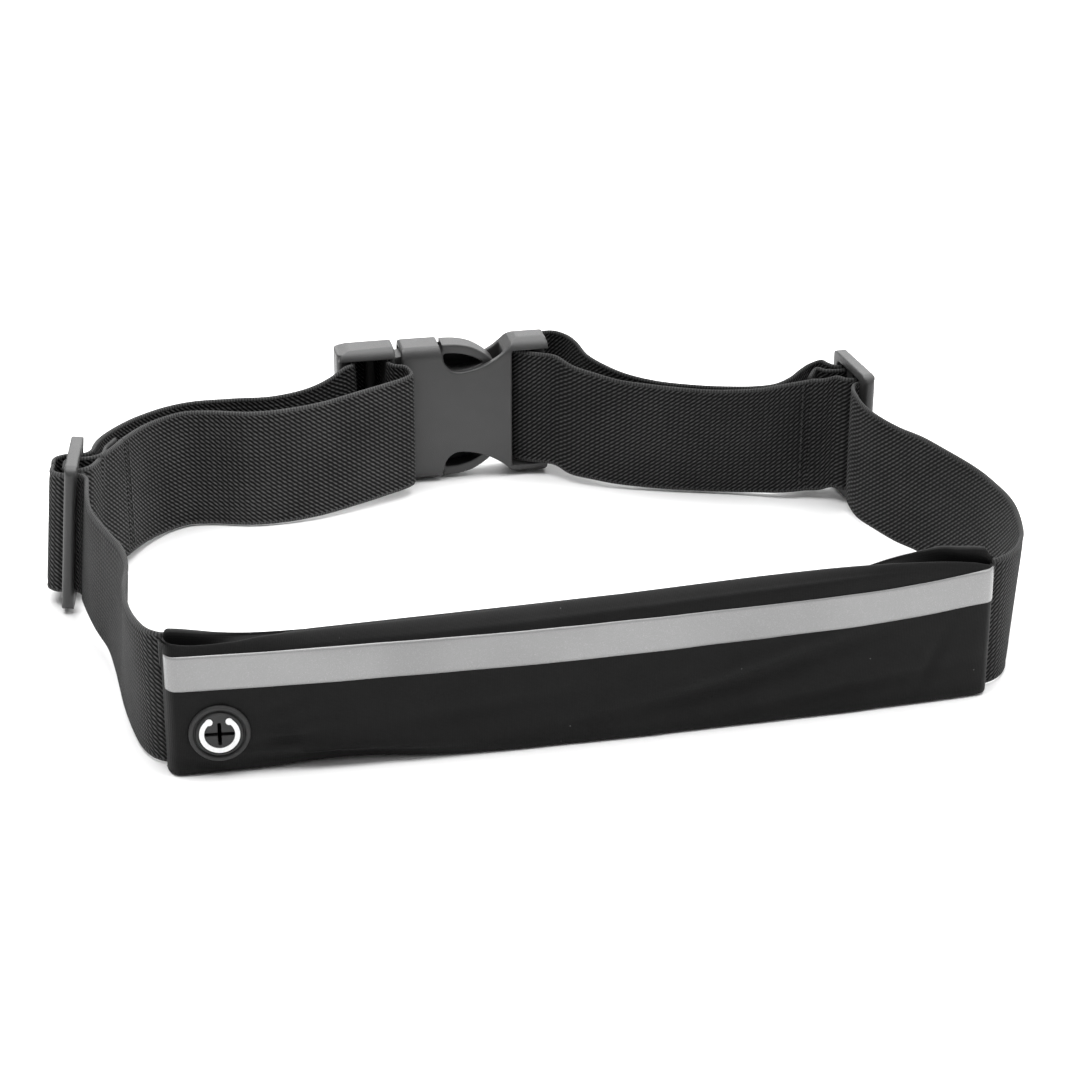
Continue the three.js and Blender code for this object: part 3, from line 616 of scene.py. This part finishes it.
LEFT_INNER = [
    [-31.8, 90.95],
    [-30, 90.2],
    [-28.3, 87.6],
    [-27.75, 83.5],
    [-27.4, 80],
    [-25.6, 77.4],
    [-22.4, 75.6],
    [-21, 72.8, 3.4],
    [-23.2, 70, 3.2],
    [-30.5, 66.6, 2.6],
    [-41, 62.6, 1.8],
    [-53, 58.6, 1],
    [-63.5, 56.7, 0.6],
    [-74.5, 56.8, 0.5],
    [-86, 60, 0.5],
    [-93.6, 60.6, 0.6],
    [-101, 56.4, 0.8],
    [-107.2, 49.4, 1.4],
    [-111.6, 41.8, 2.2],
    [-113.8, 37.2, 2.8],
]
LEFT_SEWN = [
    [-114, 36.8, 2.8],
    [-117, 31.4, 3.2, 1],
    [-121.4, 24.5, 3.5, 2],
    LEFT.at(-2.6, -4.4),
    *LEFT.round_bar(),
    LEFT.at(4.9, -4.2),
    LEFT.at(7, -7.2),
    [-119.8, 30.6, 3.6, 1.5],
    [-118, 34.2, 3.2, 1],
    [-115.9, 38, 2.8],
]
RIGHT_FRONT = [
    [103.5, -90.7, 0.3],
    [109.5, -90.7, 0.3],
    [112.6, -90.4, 0.5],
    [116.2, -89.2, 0.8],
    [121, -84.5, 0.6, 1],
    [125.4, -76, 0.5, 3],
    [128.4, -63.5, 0.5, 4.5],
    [130.4, -50, 0.5, 3.8],
    [130, -37, 0.6, 2.6],
    [128.4, -26, 0.9, 1],
    [125.6, -15.5, 1.2, -0.6],
    [121.8, -5.5, 1.6, -1],
    [117.4, 3.8, 1.4, -1],
    [113.4, 12.4, 2.2, -1],
    [110.8, 20.4, 3],
    [109.9, 26],
    *RIGHT.through_slot(-1)[::-1][1:],
]
RIGHT_OUTER = [
    *RIGHT.through_slot(1)[:-1],
    [107.6, 55.2],
    [104.4, 56, 3.4],
    [100.6, 53.2, 2.8],
    [96, 49.8, 1.8, 0, -1],
    [90.5, 48.2, 1.2, 0, -3],
    [84, 49.3, 1, 0, -5],
    [75, 52.4, 0.8, 0, -6],
    [64, 56.2, 0.8, 0, -6],
    [54, 60, 1, 0, -5],
    [46, 65, 1.6, 0, -3],
    [40.2, 71.6, 2.4, 0, -1],
    [36.8, 79, 3],
    [34.8, 87],
    [32.6, 94],
    [29.2, 97.6],
    [25.6, 97.4],
    [22.4, 94.6],
]
RIGHT_INNER = [
    [22, 94.2],
    [19, 93.4],
    [15.3, 91.3],
    [13.3, 88.4],
    [13.25, 85.2],
    [15.4, 82.3],
    [19, 79.7],
    [22, 78.2],
    [25.8, 75.4],
    [30, 70.6, 3, 0, -1],
    [36, 65.6, 2.4, 0, -3],
    [43, 61.2, 1.6, 0, -5],
    [53.5, 56.8, 1, 0, -6],
    [64, 53, 0.8, 0, -6.4],
    [75, 49.6, 0.8, 0, -6.4],
    [85, 46.6, 1.2, 0, -5],
    [93.5, 44.6, 2, 0, -1.5],
    [100.9, 43.87, 2.8],
]
RIGHT_SEWN = [
    [101, 43.8, 2.8],
    [105.2, 42.4, 3.2],
    [108.4, 40.4],
    RIGHT.at(-3.6, -3.9),
    *RIGHT.round_bar(),
    RIGHT.at(4.9, -4.2),
    RIGHT.at(5.8, -7.2),
    [104.4, 49.2],
    [101.2, 46.3, 2.8],
]


def make_straps():
    """Every length of webbing, made in place of its CAD strap; each sewn loop rides on its slider."""
    slot_rows = len(LEFT.through_slot(1))
    pouch_run = webbing("left_webbing_front", LEFT_FRONT, WEBBING_LEFT, start=0.6)
    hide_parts("left_strap_pouch_run")
    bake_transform(pouch_run)

    split = slot_rows + 4
    near = webbing("left_webbing_outer_near", LEFT_OUTER, WEBBING_LEFT, end=split)
    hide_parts("left_strap_outer")
    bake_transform(near)
    far = webbing("left_webbing_outer_far", LEFT_OUTER, WEBBING_LEFT, start=split)
    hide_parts("left_strap_outer")
    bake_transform(far)

    split = 13
    far = webbing("left_webbing_inner_far", LEFT_INNER, WEBBING_LEFT, end=split)
    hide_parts("left_strap_inner")
    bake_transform(far)
    near = webbing("left_webbing_inner_near", LEFT_INNER, WEBBING_LEFT, start=split)
    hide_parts("left_strap_inner")
    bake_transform(near)

    sewn = webbing("left_webbing_sewn_loop", LEFT_SEWN, WEBBING_LEFT)
    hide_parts("left_strap_sewn_loop")
    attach(sewn, "glide_left")

    pouch_run = webbing("right_webbing_front", RIGHT_FRONT, WEBBING_RIGHT_SHADED, start=0.6)
    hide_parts("right_strap_pouch_run")
    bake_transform(pouch_run)

    outer = webbing("right_webbing_outer", RIGHT_OUTER, WEBBING_RIGHT_SHADED)
    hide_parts("right_strap_outer")
    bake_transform(outer)

    inner = webbing("right_webbing_inner", RIGHT_INNER, WEBBING_RIGHT_SHADED)
    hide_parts("right_strap_inner")
    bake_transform(inner)

    sewn = webbing("right_webbing_sewn_loop", RIGHT_SEWN, WEBBING_RIGHT_SHADED)
    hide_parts("right_strap_sewn_loop")
    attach(sewn, "glide_right")


# ---------------------------------------------------------------- lock stitches
def capsule_ring(centre, direction, length, radius, segments=8, rings=6):
    """Vertices and faces of one stitch: a small capsule along direction."""
    direction = direction.normalized()
    across = direction.orthogonal().normalized()
    third = direction.cross(across)
    vertices, faces = [], []
    for i in range(rings + 1):
        a = math.pi * i / rings
        for j in range(segments):
            b = 2 * math.pi * j / segments
            out = across * math.cos(b) + third * math.sin(b)
            girth = out * max(math.sin(a), 0.02) * radius
            vertices.append(centre - direction * math.cos(a) * length / 2 + girth)
    for i in range(rings):
        for j in range(segments):
            k = (j + 1) % segments
            faces.append((i * segments + j, i * segments + k, (i + 1) * segments + k, (i + 1) * segments + j))
    faces.append(tuple(range(segments))[::-1])
    faces.append(tuple(rings * segments + j for j in range(segments)))
    return vertices, faces


def stitch_row(name, foot, head, length, gap, radius):
    """Stitches from foot to head, in millimetres on the drawing."""
    foot, head = Vector(foot), Vector(head)
    direction = (head - foot).normalized()
    count = int((head - foot).length / (length + gap))
    vertices, faces = [], []
    for i in range(count):
        centre = foot + direction * ((i + 0.5) * (head - foot).length / count)
        v, f = capsule_ring(centre, direction, length, radius)
        faces += [tuple(len(vertices) + k for k in face) for face in f]
        vertices += v
    obj = mesh_object(name, [at(*v) for v in vertices], faces, THREAD)
    return obj


def make_stitching():
    """The row that closes each strap's sewn loop beside its slider."""
    for name, node, body, foot, head in (
        ("left_stitches", "left_strap_stitching", "glide_left", (-111.9, 38.6, 5), (-111.9, 38.6, 39.5)),
        ("right_stitches", "right_strap_stitching", "glide_right", (98.45, 43.2, 5), (98.45, 42.8, 39.5)),
    ):
        row = stitch_row(name, foot, head, 2.1, 0.7, 0.3)
        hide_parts(node)
        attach(row, body)


# ---------------------------------------------------------------- pouch
HALF_LENGTH = 112.5
BOW = {"x": -35, "y": -102.6, "left": -99.2, "right": -96.4}
BACK_Y = -89.2
ZIP = {"z": 27, "half": 4.2, "from": -97.5, "to": 97.5, "face": -90.3}
PORT = (-99.0, 13.0)  # x and height of the port's middle


def front_line(x):
    """The front face's y in plan."""
    left = x < BOW["x"]
    reach = BOW["x"] + HALF_LENGTH if left else HALF_LENGTH - BOW["x"]
    rise = (BOW["left"] if left else BOW["right"]) - BOW["y"]
    return BOW["y"] + rise * ((x - BOW["x"]) / reach) ** 2


FRONT_RIDGE = [  # x, height of the front layer's folded top edge
    (-112.5, 38.6), (-107.5, 37.8), (-102, 37.6), (-94, 37.9), (-86, 38.6), (-71, 38.7), (-24, 39.8),
    (30, 41.6), (60, 42.6), (80, 43.0), (96, 42.0), (107, 40.3), (112.5, 38.8),
]
BACK_RIDGE = [  # x, height of the back layer's top edge
    (-112.5, 36.5), (-111, 38.9), (-109.4, 39.0), (-104, 38.1), (-97, 36.7), (-90, 35.8), (-77, 35.4),
    (-60, 35.6), (0, 36.4), (60, 37.4), (76, 39.2), (84, 41.1), (92.8, 42.7), (98.2, 43.7), (104, 43.2),
    (110.5, 42.4), (112.5, 40.2),
]
RIDGE_BACK = [  # x, how far behind the front face the front ridge lies
    (-112.5, 1.4), (-104, 1.2), (-94, 1.6), (-86, 2.6), (-71, 4.2), (-24, 5.2), (30, 5.0), (60, 3.8),
    (80, 2.0), (96, 1.4), (112.5, 1.4),
]
VALLEY = [  # x, depth of the fold between the two ridges
    (-112.5, 7.0), (-104, 6.0), (-94, 4.0), (-84, 1.4), (-72, 0.0), (66, 0.0), (78, 1.6), (88, 4.5), (98, 6.5),
    (112.5, 7.5),
]


def section_at(x):
    """The pouch's closed section at x, as (inward from the front face, height) corners."""
    depth = BACK_Y - front_line(x)
    ridge, back = interpolated(FRONT_RIDGE, x), interpolated(BACK_RIDGE, x)
    inset, valley = interpolated(RIDGE_BACK, x), interpolated(VALLEY, x)
    inset = min(inset, depth * 0.45)
    middle = (inset + depth - 0.8) / 2
    shelf = 0.5 * (ridge + back)
    broad = 1.5 * max(0.0, min(1.0, (abs(x) - 92) / 10))
    return [
        (depth * 0.5, 0.25),
        (2.0, 0.2),
        (0.7, 0.55),
        (0.15, 1.8),
        (0.0, 4.5),
        (-0.25, 10),
        (-0.4, 17),
        (-0.3, 24),
        (-0.1, 30),
        (0.15 * inset, ridge - 3.6),
        (0.45 * inset, ridge - 1.7),
        (0.8 * inset, ridge - 0.4),
        (inset + 0.25, ridge),
        (inset + 0.95, ridge - 0.45 - 0.1 * valley),
        (0.6 * middle + 0.4 * (inset + 1), shelf - 0.3 - 0.75 * valley),
        (middle, shelf - 0.2 - valley),
        (0.55 * middle + 0.45 * (depth - 1), shelf - 0.3 - 0.75 * valley),
        (depth - 1.3 - broad, back - 0.45 - 0.12 * valley),
        (depth - 0.7 - 0.75 * broad, back),
        (depth - 0.1, back - 0.5),
        (depth, back - 3),
        (depth, 28),
        (depth, 20),
        (depth, 10),
        (depth, 3.5),
        (depth - 0.25, 1.2),
        (depth - 1.2, 0.3),
    ]


PER_SPAN = 4  # points for each corner of the section
END_ROUND = 3.2  # radius of the pouch's ends in plan


def smooth_loop(corners):
    """A closed Catmull-Rom loop with PER_SPAN points for each corner."""
    rows = [np.array(c, float) for c in corners]
    n = len(rows)
    loop = []
    for i in range(n):
        p0, p1, p2, p3 = rows[i - 1], rows[i], rows[(i + 1) % n], rows[(i + 2) % n]
        for k in range(PER_SPAN):
            f = k / PER_SPAN
            loop.append(0.5 * (2 * p1 + (p2 - p0) * f + (2 * p0 - 5 * p1 + 4 * p2 - p3) * f**2
                               + (3 * p1 - p0 - 3 * p2 + p3) * f**3))
    return loop


def crease(x, z, place, angle, length, width, depth):
    """How far in a straight crease pulls the front face at (x, z)."""
    dx, dz = x - place[0], z - place[1]
    along = dx * math.cos(angle) + dz * math.sin(angle)
    across = -dx * math.sin(angle) + dz * math.cos(angle)
    return depth * math.exp(-((along / length) ** 2)) * math.exp(-((across / width) ** 2))


CREASES = [  # place on the front face, angle, half length, half width, and depth (a ridge where it is negative)
    ((-82, 10.0), 0.1, 8, 0.9, 1.28),
    ((-80, 11.8), 0.16, 9, 1.1, -1.12),
    ((-84, 18.5), 0.35, 6, 1.0, 0.64),
    ((-103, 3.5), -0.4, 6, 1.0, 0.64),
    ((52, 17), 0.24, 26, 2.2, 1.2),
    ((48, 20.5), 0.24, 22, 2.0, -0.72),
    ((24, 11), 0.13, 30, 1.8, 0.96),
    ((70, 8), 0.1, 26, 1.6, 0.96),
    ((95, 14), 1.2, 8, 1.6, 0.64),
    ((-30, 14), 0.08, 22, 2.4, 0.72),
]


def front_wrinkles(x, z):
    """Inward shift of the front face: soft waves, the creases, and a lip along the lower edge."""
    shift = 0.5 * noise.noise(Vector((x / 38, z / 16, 1.3)))
    shift += 0.2 * noise.noise(Vector((x / 13, z / 11, 5.1)))
    for fold in CREASES:
        shift += crease(x, z, *fold)
    lip = 5.6 - 0.045 * (x + 76)
    if z < lip:
        shift += 2.4 * math.sin(0.5 * math.pi * min(1.0, (lip - z) / 3.2)) * math.exp(-(((x + 68) / 26) ** 2))
    else:
        shift -= 0.75 * math.exp(-(((z - lip) / 1.6) ** 2)) * math.exp(-(((x + 70) / 24) ** 2))
    from_port = math.hypot(x - PORT[0], z - PORT[1])
    return shift * max(0.0, min(1.0, (from_port - 7.5) / 5))


def pouch_ring(x):
    """Points of the drawing round the pouch's skin at one x."""
    loop = smooth_loop(section_at(x))
    y0 = front_line(x)
    depth = BACK_Y - y0
    from_end = HALF_LENGTH - abs(x)
    pinch = 1.0
    if from_end < END_ROUND:
        pinch = math.sqrt(max(1 - (1 - from_end / END_ROUND) ** 2, 0.0))
    points = []
    for n, z in loop:
        front_share = max(0.0, 1 - n / (0.5 * depth))
        shift = front_wrinkles(x, z) * min(front_share, 1) * pinch
        n2 = n + shift
        n2 = depth * 0.62 + (n2 - depth * 0.62) * (0.12 + 0.88 * pinch)
        lifted = 1.3 * math.exp(-(((x + 66) / 22) ** 2)) * max(0.0, 1 - z / 6) * min(front_share * 2, 1)
        points.append(Vector((x, y0 + n2, z + lifted)))
    return points


def pouch_stations():
    """The places along the pouch where its section is taken, closer together round the ends."""
    xs = list(np.arange(-HALF_LENGTH + END_ROUND, HALF_LENGTH - END_ROUND + 0.01, 1.5))
    ends = [HALF_LENGTH - END_ROUND * (1 - math.cos(a)) for a in np.linspace(0, math.pi / 2, 9)[:-1]]
    return [-e for e in ends] + xs[1:-1] + ends[::-1]


def make_pouch():
    """The pouch's sewn skin, open at the zip's window and at the port."""
    xs = pouch_stations()
    rings = [pouch_ring(x) for x in xs]
    count = len(rings[0])
    girth = rings[len(rings) // 2]
    around = [0.0]
    for a, b in zip(girth, girth[1:] + girth[:1]):
        around.append(around[-1] + (b - a).length * MM)
    vertices = [at(*p) for ring in rings for p in ring]
    faces, uvs = [], []
    for i in range(len(rings) - 1):
        for j in range(count):
            k = (j + 1) % count
            quad = (i * count + j, (i + 1) * count + j, (i + 1) * count + k, i * count + k)
            middle = sum((vertices[q] for q in quad), Vector()) / 4
            if in_zip_window(middle) or in_port(middle):
                continue
            faces.append(quad)
            u0, u1, v0, v1 = xs[i] * MM, xs[i + 1] * MM, around[j], around[j + 1]
            uvs += [(u0, v0), (u1, v0), (u1, v1), (u0, v1)]
    for start, flip in ((0, False), ((len(rings) - 1) * count, True)):
        ring = [start + j for j in range(count)]
        faces.append(tuple(ring[::-1] if flip else ring))
        uvs += [(vertices[r].y, vertices[r].z) for r in faces[-1]]
    shell = mesh_object("pouch_shell", vertices, faces, LYCRA, uvs)
    fix_normals(shell)
    modified(shell, "SOLIDIFY", thickness=0.7 * MM, offset=-1)
    applied(shell)
    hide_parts("front_panel", "back_panel", "bottom_gusset", "left_end_seam", "right_end_seam")
    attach(shell, "pouch")


def in_zip_window(p):
    """Whether a point of the frame lies on the back skin inside the zip's window."""
    local = (p - ORIGIN) / MM
    level = abs(local.z - ZIP["z"]) < ZIP["half"]
    return local.y > BACK_Y - 0.5 and ZIP["from"] < local.x < ZIP["to"] and level


def in_port(p):
    """Whether a point of the frame lies on the front skin inside the port's hole."""
    local = (p - ORIGIN) / MM
    return local.y < -95 and math.hypot(local.x - PORT[0], local.z - PORT[1]) < 6.9


# ---------------------------------------------------------------- reflective strip
def strip_low(x):
    """The height of the strip's lower edge."""
    return interpolated([(-112.5, 25.5), (-46.6, 25.7), (10, 25.9), (68, 26.5), (92, 27.4), (112.5, 28.8)], x)


STRIP_WIDTH = 9.6


def front_face(x, z):
    """A point on the pouch's front skin at x and height z."""
    front = pouch_ring(x)[PER_SPAN:13 * PER_SPAN]
    for a, b in zip(front, front[1:]):
        if a.z <= z <= b.z:
            return a.lerp(b, (z - a.z) / max(b.z - a.z, 1e-6))
    return front[-1]


def make_strip():
    """The reflective film along the pouch's front."""
    xs = pouch_stations()[3:-3]
    steps = 12
    rows = []
    for x in xs:
        low = strip_low(x)
        rows.append([front_face(x, low + STRIP_WIDTH * k / steps) for k in range(steps + 1)])
    # The film lies on the cloth: each point moves out along the skin's own normal.
    lifted = []
    for i, row in enumerate(rows):
        before, after = rows[max(i - 1, 0)], rows[min(i + 1, len(rows) - 1)]
        line = []
        for k, p in enumerate(row):
            u = after[k] - before[k]
            v = row[min(k + 1, steps)] - row[max(k - 1, 0)]
            line.append(p + u.cross(v).normalized() * 0.12)
        lifted.append(line)
    count = steps + 1
    vertices = [at(*p) for row in lifted for p in row]
    faces, uvs = [], []
    for i in range(len(rows) - 1):
        for k in range(steps):
            faces.append((i * count + k, (i + 1) * count + k, (i + 1) * count + k + 1, i * count + k + 1))
            u0, u1, v0, v1 = xs[i] * MM, xs[i + 1] * MM, k * MM, (k + 1) * MM
            uvs += [(u0, v0), (u1, v0), (u1, v1), (u0, v1)]
    strip = mesh_object("reflective_film", vertices, faces, FILM, uvs)
    modified(strip, "SOLIDIFY", thickness=0.2 * MM, offset=0)
    applied(strip)
    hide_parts("reflective_strip")
    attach(strip, "pouch")


# ---------------------------------------------------------------- moulded and cast pieces
ARMS = ("buckle_arm_upper", "buckle_arm_lower")
MOULDED = ("buckle_female", "buckle_male", *ARMS, "left_slider", "right_slider")
CAST = ("zipper_slider", "zipper_pull", "zipper_stop_closed", "zipper_stop_open")


def softened(node, material, voxel):
    """A piece keeps its shape, with the small radii that a mould leaves on every edge."""
    obj = NODES[node]
    obj.data.materials.clear()
    obj.data.materials.append(material)
    modified(obj, "REMESH", mode="VOXEL", voxel_size=voxel * MM, use_smooth_shade=True)
    modified(obj, "SMOOTH", factor=0.5, iterations=6)


def bevelled(node, material, width):
    """A piece keeps its shape, with its sharp edges rounded by width."""
    obj = NODES[node]
    obj.data.materials.clear()
    obj.data.materials.append(material)
    modified(obj, "BEVEL", width=width * MM, segments=3, limit_method="ANGLE", angle_limit=math.radians(35))
    obj.data.shade_smooth()
    modified(obj, "WEIGHTED_NORMAL", keep_sharp=True)


def dress_cad_pieces():
    """Materials and rounded edges for the pieces that keep their CAD shape."""
    voxel = 0.3
    for node in MOULDED:
        softened(node, PLASTIC, voxel)
    bevelled("grommet_backing", RUBBER, 0.2)
    bevelled("grommet_symbol", SYMBOL, 0.06)
    for node in CAST:
        bevelled(node, METAL, 0.22)
    for node in ARMS:
        make_arm_web(node)


PORT_TURN = -4.15  # the port faces square to the panel's bow
PORT_PROFILE = [  # radius, height over the panel's face: flange, groove, ring and disc
    (5.0, -1.0), (6.6, -1.0), (8.0, -0.1), (8.05, 0.35), (7.95, 0.7), (7.7, 0.9), (7.3, 0.98),
    (6.95, 0.9), (6.7, 0.6), (6.6, 0.3), (6.35, 0.28), (6.2, 0.5), (6.1, 0.95), (5.95, 1.2),
    (5.75, 1.27), (5.58, 1.2), (5.5, 1.0), (4.6, 0.98), (3.4, 0.97), (2.2, 0.95), (1.1, 0.92),
]
SLIT_REACH = (3.9, 3.3)  # half lengths of the cross slit, along and up


def port_place(r, angle, height):
    """A point at radius, angle and height on the port's own axis."""
    turn = math.radians(PORT_TURN)
    x, y, z = r * math.cos(angle), -height, r * math.sin(angle)
    sideways = x * math.cos(turn) - y * math.sin(turn)
    outward = x * math.sin(turn) + y * math.cos(turn)
    return at(PORT[0] + sideways, front_line(PORT[0]) - 0.3 + outward, PORT[1] + z)


def make_port():
    """The rubber earphone port: a moulded flange and ring round a disc with a cross slit."""
    around = 96
    vertices = [port_place(r, 2 * math.pi * k / around, h) for r, h in PORT_PROFILE for k in range(around)]
    faces = []
    for i in range(len(PORT_PROFILE) - 1):
        for k in range(around):
            n = (k + 1) % around
            faces.append((i * around + k, i * around + n, (i + 1) * around + n, (i + 1) * around + k))
    last = (len(PORT_PROFILE) - 1) * around
    faces.append(tuple(last + k for k in range(around)))
    faces.append(tuple(range(around))[::-1])
    port = mesh_object("port_moulding", vertices, faces, RUBBER)
    fix_normals(port)
    slit = []
    for height in (-2, 2):
        for quarter in range(4):
            length = SLIT_REACH[quarter % 2]
            tip = [(length - 0.25, -0.5), (length, -0.25), (length, 0.25), (length - 0.25, 0.5)]
            for along, across in (*tip, (0.5, 0.5)):
                angle = math.atan2(across, along) + math.pi / 2 * quarter
                slit.append(port_place(math.hypot(along, across), angle, height))
    n = len(slit) // 2
    sides = [(i, (i + 1) % n, (i + 1) % n + n, i + n) for i in range(n)]
    cutter = mesh_object("port_cutter", slit, [tuple(range(n))[::-1], tuple(range(n, 2 * n))] + sides, RUBBER)
    fix_normals(cutter)
    modified(port, "BOOLEAN", operation="DIFFERENCE", object=cutter, solver="EXACT")
    modified(port, "BEVEL", width=0.12 * MM, segments=2, limit_method="ANGLE", angle_limit=math.radians(50))
    applied(port)
    bpy.data.objects.remove(cutter)
    modified(port, "WEIGHTED_NORMAL", keep_sharp=True)
    applied(port)
    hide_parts("grommet_body")
    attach(port, "pouch")


def hull(points):
    """The convex outline of flat points, anticlockwise."""
    points = sorted(set(points))

    def turning(a, b, c):
        return (b[0] - a[0]) * (c[1] - a[1]) - (b[1] - a[1]) * (c[0] - a[0])

    def half(row):
        out = []
        for p in row:
            while len(out) > 1 and turning(out[-2], out[-1], p) <= 0:
                out.pop()
            out.append(p)
        return out[:-1]

    return half(points) + half(points[::-1])


def make_arm_web(node):
    """The thin recessed wall that closes an arm's loop, near the buckle's back, coloured with painted shade so
    the loop reads as a dark hollow.
    """
    source = NODES[node].data
    outline = hull([(round(v.co.x, 5), round(v.co.z, 5)) for v in source.vertices])
    low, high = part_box(node)
    middle = Vector((sum(p[0] for p in outline), sum(p[1] for p in outline))) / len(outline)
    inset = [middle + (Vector(p) - middle) * 0.86 for p in outline]
    back = high.y - 1.2 * MM
    vertices = [(p.x, y, p.y) for y in (back - 1.1 * MM, back) for p in inset]
    n = len(inset)
    faces = [tuple(range(n)), tuple(range(2 * n - 1, n - 1, -1))]
    faces += [(i, i + n, (i + 1) % n + n, (i + 1) % n) for i in range(n)]
    # The wall takes the darkened plastic: painted shade for the buckle's shadowed inside.
    web = mesh_object(node + "_web", vertices, faces, PLASTIC_PAINTED_SHADE)
    fix_normals(web)
    modified(web, "BEVEL", width=0.25 * MM, segments=2, limit_method="ANGLE")
    modified(web, "WEIGHTED_NORMAL", keep_sharp=True)
    applied(web)
    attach(web, node.replace("buckle_", ""))


def swept(name, path, radius, material, segments=6, closed=False, flatten=1.0):
    """A round thread or lip along a path of drawing points; flatten scales it along y."""
    vertices, faces = [], []
    n = len(path)
    for i, p in enumerate(path):
        before = path[i - 1] if closed or i > 0 else path[i]
        after = path[(i + 1) % n] if closed or i < n - 1 else path[i]
        ahead = (after - before).normalized()
        side = ahead.cross(Vector((0, 1, 0)))
        side = side.normalized() if side.length > 1e-4 else Vector((1, 0, 0))
        up = side.cross(ahead)
        for j in range(segments):
            angle = 2 * math.pi * j / segments
            out = side * math.cos(angle) * radius + up * math.sin(angle) * radius
            vertices.append(p + Vector((out.x, out.y * flatten, out.z)))
    for i in range(n if closed else n - 1):
        for j in range(segments):
            a, b = i * segments, ((i + 1) % n) * segments
            k = (j + 1) % segments
            faces.append((a + j, a + k, b + k, b + j))
    if not closed:
        faces.append(tuple(range(segments)))
        faces.append(tuple((n - 1) * segments + j for j in range(segments))[::-1])
    obj = mesh_object(name, [at(*v) for v in vertices], faces, material)
    fix_normals(obj)
    return obj


def make_tape(side, word):
    """A woven tape, above the opening where side is 1 and below it where side is -1."""
    inner, outer = ZIP["z"] + side * 0.75, ZIP["z"] + side * 6.6
    columns, rows = 200, 8
    vertices, faces = [], []
    for y in (ZIP["face"], ZIP["face"] - 0.7):
        for i in range(columns + 1):
            x = -101.5 + 203 * i / columns
            for j in range(rows + 1):
                z = inner + (outer - inner) * j / rows
                swell = 0.22 * math.exp(-(((abs(z - ZIP["z"]) - 1.2) / 0.6) ** 2))
                swell += 0.08 * noise.noise(Vector((x / 9, z / 3, side)))
                vertices.append(at(x, y + swell, z))

    def quad(*corners):
        faces.append(tuple((layer * (columns + 1) + i) * (rows + 1) + j for layer, i, j in corners))

    for layer in (0, 1):
        for i in range(columns):
            for j in range(rows):
                quad((layer, i, j), (layer, i + 1, j), (layer, i + 1, j + 1), (layer, i, j + 1))
    for j in range(rows):
        for i in (0, columns):
            quad((0, i, j), (0, i, j + 1), (1, i, j + 1), (1, i, j))
    for i in range(columns):
        for j in (0, rows):
            quad((0, i, j), (0, i + 1, j), (1, i + 1, j), (1, i, j))
    uvs = [(vertices[k].x, vertices[k].z) for face in faces for k in face]
    tape = mesh_object("zipper_tape_" + word + "_woven", vertices, faces, TAPE, uvs)
    fix_normals(tape)
    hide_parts("zipper_tape_" + word)
    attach(tape, "pouch")


def make_coil(side, word):
    """The nylon coil sewn to a tape's edge; the two coils are half a turn apart."""
    pitch, first, last, per_turn = 1.3, -94.0, 88.0, 14
    path = []
    for i in range(int((last - first) / pitch) * per_turn):
        turn = 2 * math.pi * i / per_turn + (0 if side > 0 else math.pi)
        x = first + i * pitch / per_turn
        z = ZIP["z"] + side * (1.2 + 0.82 * math.cos(turn))
        y = ZIP["face"] + 1.05 + 0.72 * math.sin(turn)
        path.append(Vector((x, y, z)))
    coil = swept("zipper_coil_" + word + "_wound", path, 0.27, COIL)
    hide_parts("zipper_coil_" + word)
    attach(coil, "pouch")


def make_window_hem():
    """The folded edge of the cloth round the zip's window."""
    x0, x1, half = ZIP["from"] + 0.6, ZIP["to"] - 0.6, ZIP["half"] + 0.1
    corner = 1.2
    path = []
    for cx, cz, start in ((x1 - corner, half - corner, 0), (x0 + corner, half - corner, 1),
                          (x0 + corner, corner - half, 2), (x1 - corner, corner - half, 3)):
        for k in range(7):
            angle = math.pi / 2 * (start + k / 6)
            x, z = cx + corner * math.cos(angle), cz + corner * math.sin(angle)
            path.append(Vector((x, BACK_Y - 0.15, ZIP["z"] + z)))
    lip = swept("zip_window_hem", path, 0.62, LYCRA, segments=10, closed=True, flatten=0.8)
    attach(lip, "pouch")


def make_back_stitches():
    """A row along each side of the zip, one across each end of it, and two down each end of the pouch."""
    rows = []
    for side, word in ((1, "above"), (-1, "below")):
        z = ZIP["z"] + side * 6.1
        rows.append(("zip_stitches_" + word, (-99.5, z), (99.5, z)))
    for side, word in ((-1, "left"), (1, "right")):
        x = side * 100.6
        rows.append(("zip_stitches_" + word, (x, 20.4), (x, 33.6)))
    for side, word in ((-1, "left"), (1, "right")):
        for k, shift in enumerate((0, 1.6)):
            x = side * (107.4 + shift)
            rows.append((f"end_stitches_{word}_{k}", (x, 2.5), (x, 35.5)))
    face = BACK_Y + 0.06
    for name, (x0, z0), (x1, z1) in rows:
        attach(stitch_row(name, (x0, face, z0), (x1, face, z1), 2.0, 0.7, 0.2), "pouch")


def make_zip():
    """Two tapes with their coils, the hem of the window and the stitches on the pouch's back."""
    for side, word in ((1, "upper"), (-1, "lower")):
        make_tape(side, word)
        make_coil(side, word)
    make_window_hem()
    make_back_stitches()


make_camera()
make_studio()
make_pouch()
make_strip()
make_straps()
make_stitching()
make_zip()
make_port()
dress_cad_pieces()
